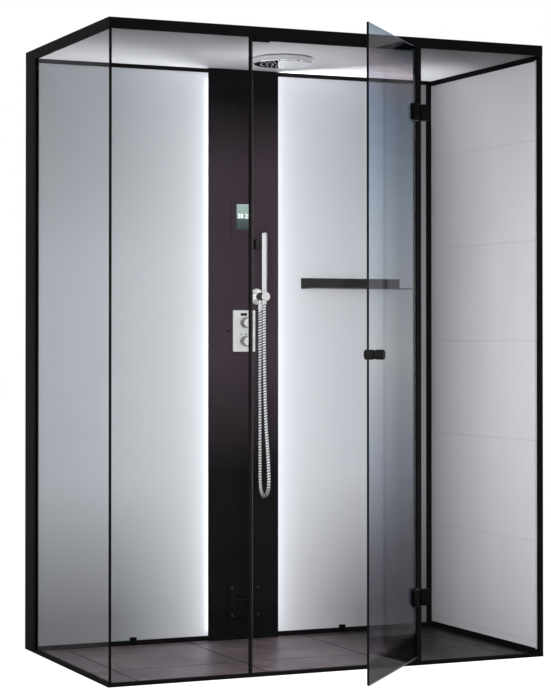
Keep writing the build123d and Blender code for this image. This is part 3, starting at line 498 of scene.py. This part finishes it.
# Painted shade: the ceiling darkens towards the left side, the front edge and the front right corner.
left_side = spread(tree, x, 0.76, 1.0, -0.35, -0.15)
front_edge = spread(tree, y, 0.42, 1.0, -0.46, 0.0)
right_corner = spread(tree, less(tree, times(tree, x, 0.9), y), 1.0, 0.36, 0.48, 0.80)
darken(tree, times(tree, left_side, front_edge, right_corner))
print("ceiling nodes", len(tree.nodes))

# %% [markdown]
# ## The rear covers
# The covers at the back are coated sheets that meet beside the column. Flush rivets hold them to the
# uprights, so nothing stands out from the back. A distance from the seam draws the thin dark gap, and a
# distance from a row of points draws the rivets, which need no mesh of their own.
# %% Rear sheet with its seams and rivets
SEAM_AT, SEAM_HALF = 0.120, 0.0016
RIVET_IN, RIVET_PITCH, RIVET_R, FIRST_RIVET_Z = 0.014, 0.28, 0.0055, 0.15
coated("rear_sheet", (0.30, 0.31, 0.32), (0.34, 0.35, 0.36), (0.4, 0.55), 700.0)
tree = finish["rear_sheet"].node_tree
x, y, z = split(tree, place(tree))
from_seam = far_from(tree, far_from(tree, x, COLUMN_X), SEAM_AT)
seam = math_node(tree, "LESS_THAN", from_seam, SEAM_HALF)
sideways = far_from(tree, from_seam, RIVET_IN)
upwards = math_node(tree, "PINGPONG", less(tree, z, FIRST_RIVET_Z - RIVET_PITCH), RIVET_PITCH / 2)
squares = plus(tree, math_node(tree, "POWER", sideways, 2.0), math_node(tree, "POWER", upwards, 2.0))
rivet = math_node(tree, "LESS_THAN", math_node(tree, "SQRT", squares), RIVET_R)
drawn = math_node(tree, "MAXIMUM", times(tree, seam, 0.8), times(tree, rivet, 0.6))
darken(tree, less(tree, 1.0, drawn))
print("rear seams at", round(COLUMN_X - SEAM_AT, 3), round(COLUMN_X + SEAM_AT, 3))

# %% [markdown]
# ## The column's dark glass and its light strips
# The column is near-black glass. Its brown middle band is a painted reflection of the bright room, so
# the column is darkest at the floor and the ceiling. The strips beside it are opal plastic over small
# lamps, brighter in front of each lamp.
# %% Dark glass and light strips
LAMP_PITCH = 0.0167
material, tree, shader = new_material("dark_glass")
z = split(tree, place(tree))[2]
# Painted reflection: a brown band in the middle, where the column would mirror the bright room.
band = times(tree, spread(tree, z, 0.0, 1.0, 0.62, 1.02), spread(tree, z, 1.0, 0.0, 1.72, 1.98))
brown = ramp(tree, band, [(0.0, (0.009, 0.009, 0.010)), (1.0, (0.068, 0.050, 0.062))])
tree.links.new(brown, shader.inputs["Base Color"])
marks = use_group(tree, wipe_group, Scale=3.0)["Marks"]
tree.links.new(spread(tree, marks, 0.06, 0.14, 0.2, 0.8), shader.inputs["Roughness"])
set_plain(shader, Specular_IOR_Level=0.05)
finish["dark_glass"] = material

material, tree, shader = new_material("led_diffuser")
z = split(tree, place(tree))[2]
lamps = math_node(tree, "SINE", times(tree, z, 2 * math.pi / LAMP_PITCH))
opal = ramp(tree, spread(tree, lamps, 0.0, 1.0, -1.0, 1.0), [(0, (0.85, 0.9, 1.0)), (1, (1, 1, 1))])
tree.links.new(opal, shader.inputs["Emission Color"])
set_plain(shader, Base_Color=(0.8, 0.8, 0.8), Roughness=0.5, Emission_Strength=5.0)
finish["led_diffuser"] = material
print("lamps every", LAMP_PITCH, "m")

# %% [markdown]
# ## Clear glass
# A pane is a real slab, so its shader bends light at both faces. Its cut edge looks dark and green,
# because one sees the length of the sheet through it. Light from lamps would be stopped by a bending
# shader, so for shadow and diffuse rays a Transparent shader takes its place, and the room stays bright.
# It does so in mirror images too, where a bent view of the room would only add noise.
# Where one looks along the door's leaf, it mirrors more of the room. That reflection is painted into its
# colour by height: near black at the floor, bright in the middle and blue higher up, and a blue tint
# colours its mirror images. The angle to the face picks between the two rows of colours.
# %% The mask of a pane's cut edge
edge_group, inside, outside = new_group("pane_edge", [("Across X", 0.0), ("Across Y", 1.0)], [("Edge", FLOAT)])
way = edge_group.nodes.new("ShaderNodeCombineXYZ")
edge_group.links.new(inside.outputs["Across X"], way.inputs["X"])
edge_group.links.new(inside.outputs["Across Y"], way.inputs["Y"])
turned = edge_group.nodes.new("ShaderNodeVectorMath")
turned.operation = "DOT_PRODUCT"
edge_group.links.new(edge_group.nodes.new("ShaderNodeTexCoord").outputs["Normal"], turned.inputs[0])
edge_group.links.new(way.outputs[0], turned.inputs[1])
facing = math_node(edge_group, "ABSOLUTE", turned.outputs["Value"])
edge_group.links.new(math_node(edge_group, "LESS_THAN", facing, 0.5), outside.inputs["Edge"])
print("edge mask nodes", len(edge_group.nodes))


# %% Pane glass
EDGE_GREEN = (0.10, 0.20, 0.17)


def blended(tree, factor, a, b):
    """A colour socket mixed with another one, or with a plain colour, by a factor socket."""
    node = tree.nodes.new("ShaderNodeMix")
    node.data_type = "RGBA"
    tree.links.new(factor, node.inputs["Factor"])
    tree.links.new(a, node.inputs[6])
    if isinstance(b, tuple):
        node.inputs[7].default_value = (*b, 1)
    else:
        tree.links.new(b, node.inputs[7])
    return node.outputs[2]


def by_height(tree, up, rows):
    """Colours by height, given as (metres, colour), on a height that runs from 0 to 1."""
    return ramp(tree, up, [(z / rows[-1][0], colour) for z, colour in rows])


def mix_shaders(tree, factor, a, b):
    """Mixes two shaders by a factor socket and puts them on the material's surface."""
    node = tree.nodes.new("ShaderNodeMixShader")
    for number, socket in enumerate((factor, a, b)):
        tree.links.new(socket, node.inputs[number])
    tree.links.new(node.outputs[0], tree.nodes["Material Output"].inputs["Surface"])


def clear_glass(name, faces, across, ior=1.04, tint=(0.0, 0.0, 0.0), lets=0.98, reflected_rows=None):
    """Pane glass from its faces' colours by height and the direction across the pane.

    The last argument holds painted reflections by height on the same faces, shown when one looks along them."""
    material, tree, shader = new_material(name)
    mask = use_group(tree, edge_group, Across_X=across[0], Across_Y=across[1])["Edge"]
    up = math_node(tree, "DIVIDE", split(tree, place(tree))[2], faces[-1][0])
    body = by_height(tree, up, faces)
    if reflected_rows:
        angle = tree.nodes.new("ShaderNodeLayerWeight")
        angle.inputs["Blend"].default_value = 0.5
        along = spread(tree, angle.outputs["Facing"], 0.0, 1.0, 0.34, 0.60)
        body = blended(tree, along, body, by_height(tree, up, reflected_rows))
    tree.links.new(blended(tree, mask, body, EDGE_GREEN), shader.inputs["Base Color"])
    bump(tree, shader, noise(tree, place(tree), 2.2, 1.0), 0.3, 0.0008)
    set_plain(shader, Roughness=0.0, IOR=ior, Transmission_Weight=1.0, Specular_Tint=tint)
    through = tree.nodes.new("ShaderNodeBsdfTransparent")
    through.inputs["Color"].default_value = (lets, lets, lets, 1)
    path = tree.nodes.new("ShaderNodeLightPath").outputs
    mirrored = less(tree, path["Is Glossy Ray"], path["Is Transmission Ray"])
    unbent = math_node(tree, "MAXIMUM", path["Is Shadow Ray"], path["Is Diffuse Ray"])
    unbent = math_node(tree, "MAXIMUM", unbent, mirrored)
    mix_shaders(tree, unbent, shader.outputs[0], through.outputs[0])
    return material


# %% The panes' own glass
DOOR_REST = math.radians(47.45)
CLEAR = [(0.0, (0.90, 0.915, 0.91)), (2.1, (0.91, 0.925, 0.92))]
TONED = [(0.0, (0.86, 0.87, 0.88)), (2.1, (0.88, 0.89, 0.90))]
# Painted reflections on the door's leaf by height, shown where one looks along it.
LEAF_REFLECTIONS = [
    (0.0, (0.02, 0.015, 0.02)), (0.095, (0.02, 0.015, 0.02)), (0.115, (0.42, 0.38, 0.42)),
    (0.19, (0.30, 0.28, 0.34)), (0.26, (0.22, 0.20, 0.27)), (0.42, (0.26, 0.26, 0.31)),
    (0.74, (0.55, 0.60, 0.68)), (1.08, (0.97, 1.0, 1.0)), (1.56, (0.68, 0.81, 0.95)),
    (1.85, (0.39, 0.50, 0.65)), (1.98, (0.50, 0.43, 0.45)), (2.10, (0.11, 0.19, 0.27)),
]
finish["clear_glass"] = clear_glass("clear_glass", CLEAR, (0.0, 1.0))
side_glass = clear_glass("side_glass", TONED, (1.0, 0.0))
across_leaf = (math.sin(DOOR_REST), -math.cos(DOOR_REST))
# The door glass's blue specular tint paints blue into its mirror images.
door_glass = clear_glass("door_glass", CLEAR, across_leaf, 1.07, (0.5, 0.8, 1.0), 0.94, LEAF_REFLECTIONS)
print("door glass faces", [round(v, 2) for v in across_leaf])

# %% [markdown]
# ## Putting the finishes on
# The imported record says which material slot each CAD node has. A loop gives each node its slot's finish,
# and a short list names the nodes that need one of their own.
# %% Finishes on the CAD nodes
own_finish = {
    "glass_left_side": side_glass, "door_glass": door_glass, "mixer_plate": satin_plate,
    "shower_elbow": satin_holder, "knob_temperature": fluted_knob, "knob_flow": fluted_knob,
    "control_panel": finish["dark_glass"], "steam_outlet_cover": finish["dark_glass"],
    "left_wall_channel": finish["side_profile"], "rear_covers": finish["rear_sheet"],
}
for row in record["subparts"]:
    name = row["node"]
    for slot in nodes[name].material_slots:
        slot.material = own_finish.get(name, finish[row["material_slot"]])
print("finished", len(record["subparts"]), "nodes")

# %% [markdown]
# ## The shower hose
# A metal shower hose is a spiral strip round a soft tube. It hangs in one loop from the wall outlet to the
# hand shower. Its line is a smooth NURBS curve through the loop, and the tube follows points read from
# that curve, with a radius that rises and falls along a helix, which makes the strip's turns.
# %% Hose line
HOSE_R = 0.007
HOSE_STEP, LINE_RESOLUTION = 0.0012, 40
HOSE_ROUTE = [
    (0.038, 0.272, 1.212), (0.038, 0.272, 1.108), (0.040, 0.281, 0.960), (0.044, 0.289, 0.800),
    (0.045, 0.291, 0.665), (0.045, 0.2905, 0.566), (0.040, 0.259, 0.533), (0.034, 0.213, 0.533),
    (0.032, 0.178, 0.566), (0.033, 0.187, 0.665), (0.036, 0.218, 0.800), (0.037, 0.231, 0.960),
    (0.038, 0.235, 1.110), (0.038, 0.235, 1.232),
]


def smooth_line(route, resolution):
    """The points of a NURBS curve that has these control points."""
    curve = bpy.data.curves.new("line", "CURVE")
    curve.dimensions = "3D"
    spline = curve.splines.new("NURBS")
    spline.points.add(len(route) - 1)
    for point, spot in zip(spline.points, route):
        point.co = (*spot, 1)
    spline.order_u = 3
    spline.use_endpoint_u = True
    spline.resolution_u = resolution
    holder = bpy.data.objects.new("line", curve)
    bpy.context.collection.objects.link(holder)
    mesh = bpy.data.meshes.new_from_object(holder)
    points = [v.co.copy() for v in mesh.vertices]
    bpy.data.objects.remove(holder)
    bpy.data.meshes.remove(mesh)
    return points


def even_points(points, step):
    """Points at even steps along a line of close points, and the length of the line."""
    lengths = [0.0]
    for a, b in zip(points, points[1:]):
        lengths.append(lengths[-1] + (b - a).length)
    count = round(lengths[-1] / step)
    spots, i = [], 0
    for k in range(count + 1):
        want = lengths[-1] * k / count
        while i < len(points) - 2 and lengths[i + 1] < want:
            i += 1
        t = (want - lengths[i]) / (lengths[i + 1] - lengths[i])
        spots.append(points[i].lerp(points[i + 1], t))
    return spots, lengths[-1]


hose_line, hose_length = even_points(smooth_line(HOSE_ROUTE, LINE_RESOLUTION), HOSE_STEP)
print("hose", round(hose_length, 4), "m,", len(hose_line), "stations")

# %% Hose tube with its spiral
HOSE_PITCH, HOSE_GROOVE = 0.0100, 0.0018
HOSE_SIDES = 18


def spiral_tube(name, line, radius, pitch, sides, depth):
    """A closed tube along a line, with a helical groove; "groove" tells how deep a point lies."""
    mesh = bmesh.new()
    sunk = mesh.verts.layers.float.new("groove")
    rings = []
    side = Vector((1, 0, 0))
    for i, spot in enumerate(line):
        ahead = (line[min(i + 1, len(line) - 1)] - line[max(i - 1, 0)]).normalized()
        side = (side - ahead * side.dot(ahead)).normalized()
        up = ahead.cross(side)
        along = i * (line[1] - line[0]).length
        ring = []
        for k in range(sides):
            turn = 2 * math.pi * k / sides
            phase = (along / pitch - k / sides) % 1.0
            groove = min(1.0, max(0.0, 1.5 - abs(phase - 0.5) / 0.15))
            r = radius - depth * groove
            point = mesh.verts.new(spot + (side * math.cos(turn) + up * math.sin(turn)) * r)
            point[sunk] = groove
            ring.append(point)
        rings.append(ring)
    for a, b in zip(rings, rings[1:]):
        for k in range(sides):
            j = (k + 1) % sides
            mesh.faces.new((a[k], a[j], b[j], b[k]))
    mesh.faces.new(list(reversed(rings[0])))
    mesh.faces.new(rings[-1])
    bmesh.ops.recalc_face_normals(mesh, faces=mesh.faces)
    data = bpy.data.meshes.new(name)
    mesh.to_mesh(data)
    mesh.free()
    for face in data.polygons:
        face.use_smooth = True
    tube = bpy.data.objects.new(name, data)
    bpy.context.collection.objects.link(tube)
    return tube


# %% The hose, its finish and its two ends
hose = spiral_tube("hose_spiral", hose_line, HOSE_R, HOSE_PITCH, HOSE_SIDES, HOSE_GROOVE)
material, tree, shader = new_material("hose_strip")
sunk = tree.nodes.new("ShaderNodeAttribute")
sunk.attribute_name = "groove"
strip = [(0.0, (0.90, 0.90, 0.92)), (0.45, (0.80, 0.80, 0.82)), (0.75, (0.05, 0.05, 0.055))]
tree.links.new(ramp(tree, sunk.outputs["Fac"], strip), shader.inputs["Base Color"])
marks = use_group(tree, wipe_group, Scale=30.0)["Marks"]
tree.links.new(spread(tree, marks, 0.2, 0.3, 0.2, 0.8), shader.inputs["Roughness"])
set_plain(shader, Metallic=1.0)
hose.data.materials.append(material)
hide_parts("shower_hose")
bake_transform(hose)
print("hose faces", len(hose.data.polygons))

# %% [markdown]
# ## Screens and screws
# CAD left out the smallest things. The control panel has a lit screen with two plain numbers, and the
# mixer has a little dark display and two marks below it. Four dome-headed screws hold the steam cover.
# A dome with a round socket is a short drum: its rim is rounded by a bevel, its top face is inset and
# pushed in. One screw is modelled and the others are copies with their own mesh.
# %% Helpers for small pieces
FRONT_FACE = Matrix.Rotation(math.pi / 2, 4, "X")


def take_over(obj, name, material, body="cabin"):
    """Puts an object's place into its mesh, and gives it its name, finish, slot and body."""
    obj.name = name
    obj.data.transform(obj.matrix_world)
    obj.matrix_world = Matrix.Identity(4)
    obj.data.materials.clear()
    obj.data.materials.append(material)
    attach(obj, body)
    return obj


def soften(obj, width):
    """Rounds the edges with a bevel modifier and applies it."""
    bevel = obj.modifiers.new("bevel", "BEVEL")
    bevel.width = width
    bevel.segments = 2
    bevel.limit_method = "ANGLE"
    bpy.context.view_layer.objects.active = obj
    bpy.ops.object.modifier_apply(modifier=bevel.name)


def pane(name, x, z, face, thick, material, round_by=0.0015):
    """A thin plate on a face that looks to the front, from (x0, x1) and (z0, z1)."""
    bpy.ops.mesh.primitive_cube_add(size=1, location=(sum(x) / 2, face - thick / 2, sum(z) / 2))
    plate = bpy.context.object
    plate.data.transform(Matrix.Diagonal((x[1] - x[0], thick, z[1] - z[0], 1)))
    bpy.ops.object.mode_set(mode="EDIT")
    work = bmesh.from_edit_mesh(plate.data)
    for edge in work.edges:
        ends = edge.verts[0].co - edge.verts[1].co
        edge.select = abs(ends.y) > 0.5 * thick and abs(ends.x) + abs(ends.z) < 1e-6
    bmesh.update_edit_mesh(plate.data)
    bpy.ops.mesh.bevel(offset=round_by, segments=3)
    bpy.ops.object.mode_set(mode="OBJECT")
    soften(plate, thick * 0.3)
    return take_over(plate, name, material)


# %% Lit screen
SCREEN_X, SCREEN_Z, SCREEN_Y = (-0.041, 0.019), (1.5075, 1.5998), 0.306
material, tree, shader = new_material("screen_glow")
level = spread(tree, split(tree, place(tree))[2], 0.0, 1.0, *SCREEN_Z)
picture = [
    (0.0, (0.05, 0.07, 0.07)), (0.40, (0.08, 0.115, 0.11)), (0.46, (0.33, 0.46, 0.43)),
    (0.92, (0.36, 0.48, 0.45)), (1.0, (0.48, 0.55, 0.54)),
]
tree.links.new(ramp(tree, level, picture), shader.inputs["Emission Color"])
dots = noise(tree, place(tree), 700.0, 1.0)
unlit = ramp(tree, dots, [(0.3, (0.006, 0.007, 0.007)), (0.7, (0.012, 0.014, 0.014))])
tree.links.new(unlit, shader.inputs["Base Color"])
tree.links.new(spread(tree, dots, 0.25, 0.35), shader.inputs["Roughness"])
set_plain(shader, Emission_Strength=1.0, Specular_IOR_Level=0.1)
pane("control_screen", SCREEN_X, SCREEN_Z, SCREEN_Y, 0.0006, material)
print("screen", round(SCREEN_X[1] - SCREEN_X[0], 4), "by", round(SCREEN_Z[1] - SCREEN_Z[0], 4), "m")

# %% Digits on the screen
material, tree, shader = new_material("screen_digit")
dots = noise(tree, place(tree), 900.0, 1.0)
lit = ramp(tree, dots, [(0.3, (0.90, 0.96, 0.95)), (0.7, (1.0, 1.0, 1.0))])
tree.links.new(lit, shader.inputs["Emission Color"])
unlit = ramp(tree, dots, [(0.3, (0.7, 0.7, 0.7)), (0.7, (0.8, 0.8, 0.8))])
tree.links.new(unlit, shader.inputs["Base Color"])
tree.links.new(spread(tree, dots, 0.4, 0.5), shader.inputs["Roughness"])
set_plain(shader, Emission_Strength=0.9)
bpy.ops.object.text_add(location=(-0.0385, SCREEN_Y - 0.0008, 1.5485), rotation=(math.pi / 2, 0, 0))
digits = bpy.context.object
digits.data.body = "38 25"
digits.data.size = 0.0235
digits.data.extrude = 0.0002
digits.data.offset = 0.0003
bpy.ops.object.convert(target="MESH")
take_over(bpy.context.object, "screen_digits", material)
print("digits", [round(v, 4) for v in bpy.context.object.dimensions])

# %% Mixer display and marks
DISPLAY_X, DISPLAY_Z, PLATE_Y = (-0.0258, -0.0013), (1.1909, 1.2003), 0.304
pane("mixer_display", DISPLAY_X, DISPLAY_Z, PLATE_Y, 0.0005, finish["black_gloss"], round_by=0.0008)
MARK_R, MARK_THICK = 0.0024, 0.0004
marks_at = [(-0.0246, 1.1233), (-0.0043, 1.1233)]
for number, (x, z) in enumerate(marks_at, 1):
    bpy.ops.mesh.primitive_cylinder_add(
        vertices=24, radius=MARK_R, depth=MARK_THICK,
        location=(x, PLATE_Y - MARK_THICK / 2, z), rotation=(math.pi / 2, 0, 0),
    )
    mark = bpy.context.object
    soften(mark, 0.3 * MARK_THICK)
    take_over(mark, f"mixer_mark_{number}", finish["satin_black"])
print("mixer marks", len(marks_at))


# %% Dome-headed screws
def dome_screw(radius, height, socket):
    """A screw head on the floor plane with its top up, a round socket in it."""
    bpy.ops.mesh.primitive_cylinder_add(vertices=24, radius=radius, depth=height, location=(0, 0, height / 2))
    head = bpy.context.object
    head.data.transform(Matrix.Translation((0, 0, height / 2)))
    head.location = (0, 0, 0)
    bpy.ops.object.mode_set(mode="EDIT")
    bpy.ops.mesh.select_all(action="DESELECT")
    work = bmesh.from_edit_mesh(head.data)
    for face in work.faces:
        face.select = face.normal.z > 0.9
    bmesh.update_edit_mesh(head.data)
    bpy.ops.mesh.bevel(offset=height * 0.6, segments=3, affect="EDGES")
    work = bmesh.from_edit_mesh(head.data)
    for face in work.faces:
        face.select = face.normal.z > 0.99 and face.calc_center_median().z > height * 0.99
    bmesh.update_edit_mesh(head.data)
    bpy.ops.mesh.inset(thickness=radius * 0.4 - height * 0.2)
    bpy.ops.mesh.extrude_region_move(TRANSFORM_OT_translate={"value": (0, 0, -socket)})
    bpy.ops.object.mode_set(mode="OBJECT")
    for face in head.data.polygons:
        face.use_smooth = abs(face.normal.z) < 0.95
    return head


def set_screws(head, name, spots, turn, material, body="cabin"):
    """Copies of a screw head, each with its own mesh, turned and set at their spots."""
    made = []
    for number, spot in enumerate(spots, 1):
        one = head.copy()
        one.data = head.data.copy()
        bpy.context.collection.objects.link(one)
        one.matrix_world = Matrix.Translation(spot) @ turn
        made.append(take_over(one, f"{name}_{number}", material, body))
    bpy.data.objects.remove(head)
    return made


# %% Screws of the steam cover
COVER_Y = 0.305
steam_spots = [(COLUMN_X + dx, COVER_Y, z) for dx in (-0.0475, 0.0545) for z in (0.0950, 0.1950)]
head = dome_screw(radius=0.0034, height=0.0016, socket=0.0008)
screws = set_screws(head, "steam_screw", steam_spots, FRONT_FACE, finish["dark_screw"])
print("steam cover screws", len(screws))

# %% [markdown]
# ## Floor, world and lamps
# The studio is plain: a pale floor, a white world and large soft lamps. What the camera sees of floor
# and world is white, while the light that they give stays lower, so white panels don't wash out. In
# mirror images the floor is darker close to the cabin, as it would be in its shade.
# %% Rays that show a white room
def seen_directly(tree):
    """A Light Path's outputs, and a mask of the rays that reach the camera, mirrors and glass."""
    path = tree.nodes.new("ShaderNodeLightPath").outputs
    seen = math_node(tree, "MAXIMUM", path["Is Camera Ray"], path["Is Glossy Ray"])
    return path, math_node(tree, "MAXIMUM", seen, path["Is Transmission Ray"])


# %% Studio floor
bpy.ops.mesh.primitive_plane_add(size=60, location=(0, 0, -0.0005))
ground = bpy.context.object
ground.name = "studio_floor"
material, tree, shader = new_material("studio_floor")
set_plain(shader, Base_Color=(0.45, 0.45, 0.45), Roughness=0.9, Specular_IOR_Level=0.0)
path, seen = seen_directly(tree)
reach = tree.nodes.new("ShaderNodeVectorMath")
reach.operation = "LENGTH"
tree.links.new(place(tree), reach.inputs[0])
close = spread(tree, reach.outputs["Value"], 0.5, 0.0, 1.5, 6.0)
glowing = tree.nodes.new("ShaderNodeEmission")
tree.links.new(less(tree, 0.95, times(tree, path["Is Glossy Ray"], close)), glowing.inputs["Strength"])
both = tree.nodes.new("ShaderNodeAddShader")
for number, part in enumerate((shader, glowing)):
    tree.links.new(part.outputs[0], both.inputs[number])
mix_shaders(tree, seen, shader.outputs[0], both.outputs[0])
ground.data.materials.append(material)
print("floor", round(ground.dimensions.x, 1), "m wide")

# %% World
AMBIENT = 0.13
world = bpy.data.worlds.new("studio")
bpy.context.scene.world = world
world.use_nodes = True
tree = world.node_tree
backdrop = tree.nodes["Background"]
backdrop.inputs["Color"].default_value = (1, 1, 1, 1)
path, seen = seen_directly(tree)
tree.links.new(plus(tree, times(tree, seen, 1.0 - AMBIENT), AMBIENT), backdrop.inputs["Strength"])
print("ambient", AMBIENT)


# %% Lamps
def soft_lamp(name, at, aim, size, watts):
    """A square area lamp at a place, aimed at a point."""
    lamp = bpy.data.lights.new(name, "AREA")
    lamp.size = size
    lamp.energy = watts
    holder = bpy.data.objects.new(name, lamp)
    holder.location = at
    holder.rotation_euler = (Vector(aim) - Vector(at)).to_track_quat("-Z", "Y").to_euler()
    holder.visible_camera = False
    holder.visible_glossy = False
    holder.visible_transmission = False
    bpy.context.collection.objects.link(holder)
    return holder


soft_lamp("key", (-3.4, -4.6, 2.2), (0.4, 0.0, 1.0), 2.4, 50)
soft_lamp("fill", (3.6, -4.2, 1.8), (0.2, 0.0, 1.0), 2.4, 10)
soft_lamp("top", (0.0, -0.5, 5.0), (0.0, 0.0, 1.0), 3.0, 40)
soft_lamp("near", (-0.45, -1.25, 1.0), (0.4, 0.1, 0.95), 1.0, 15.5)
print("lamps", [lamp.name for lamp in bpy.data.lights])

# %% [markdown]
# ## The light strips on the ceiling
# The strips beside the column throw two bright fans on the ceiling. Their opal covers alone would make
# a noisy picture, so two long, narrow lamps beside the column stand in for them, and a small one shines
# up from the middle. Light linking lets them reach the ceiling panel only.
# %% Lamps for the ceiling
STRIP_X, STRIP_Y, STRIP_Z, STRIP_LONG = 0.131, 0.323, 1.07, 1.9
ceiling_only = bpy.data.collections.new("ceiling_only")
ceiling_only.objects.link(nodes["ceiling_panel"])
for side in (-1, 1):
    at = Vector((COLUMN_X + side * STRIP_X, STRIP_Y, STRIP_Z))
    strip = soft_lamp("strip", at, at + Vector((side, 0, 0)), 0.010, 17)
    strip.data.shape = "RECTANGLE"
    strip.data.size_y = STRIP_LONG
    strip.light_linking.receiver_collection = ceiling_only
pool = soft_lamp("pool", (-0.15, -0.12, 1.45), (-0.15, -0.12, 2.1), 0.2, 0.25)
pool.data.spread = math.radians(75)
pool.light_linking.receiver_collection = ceiling_only
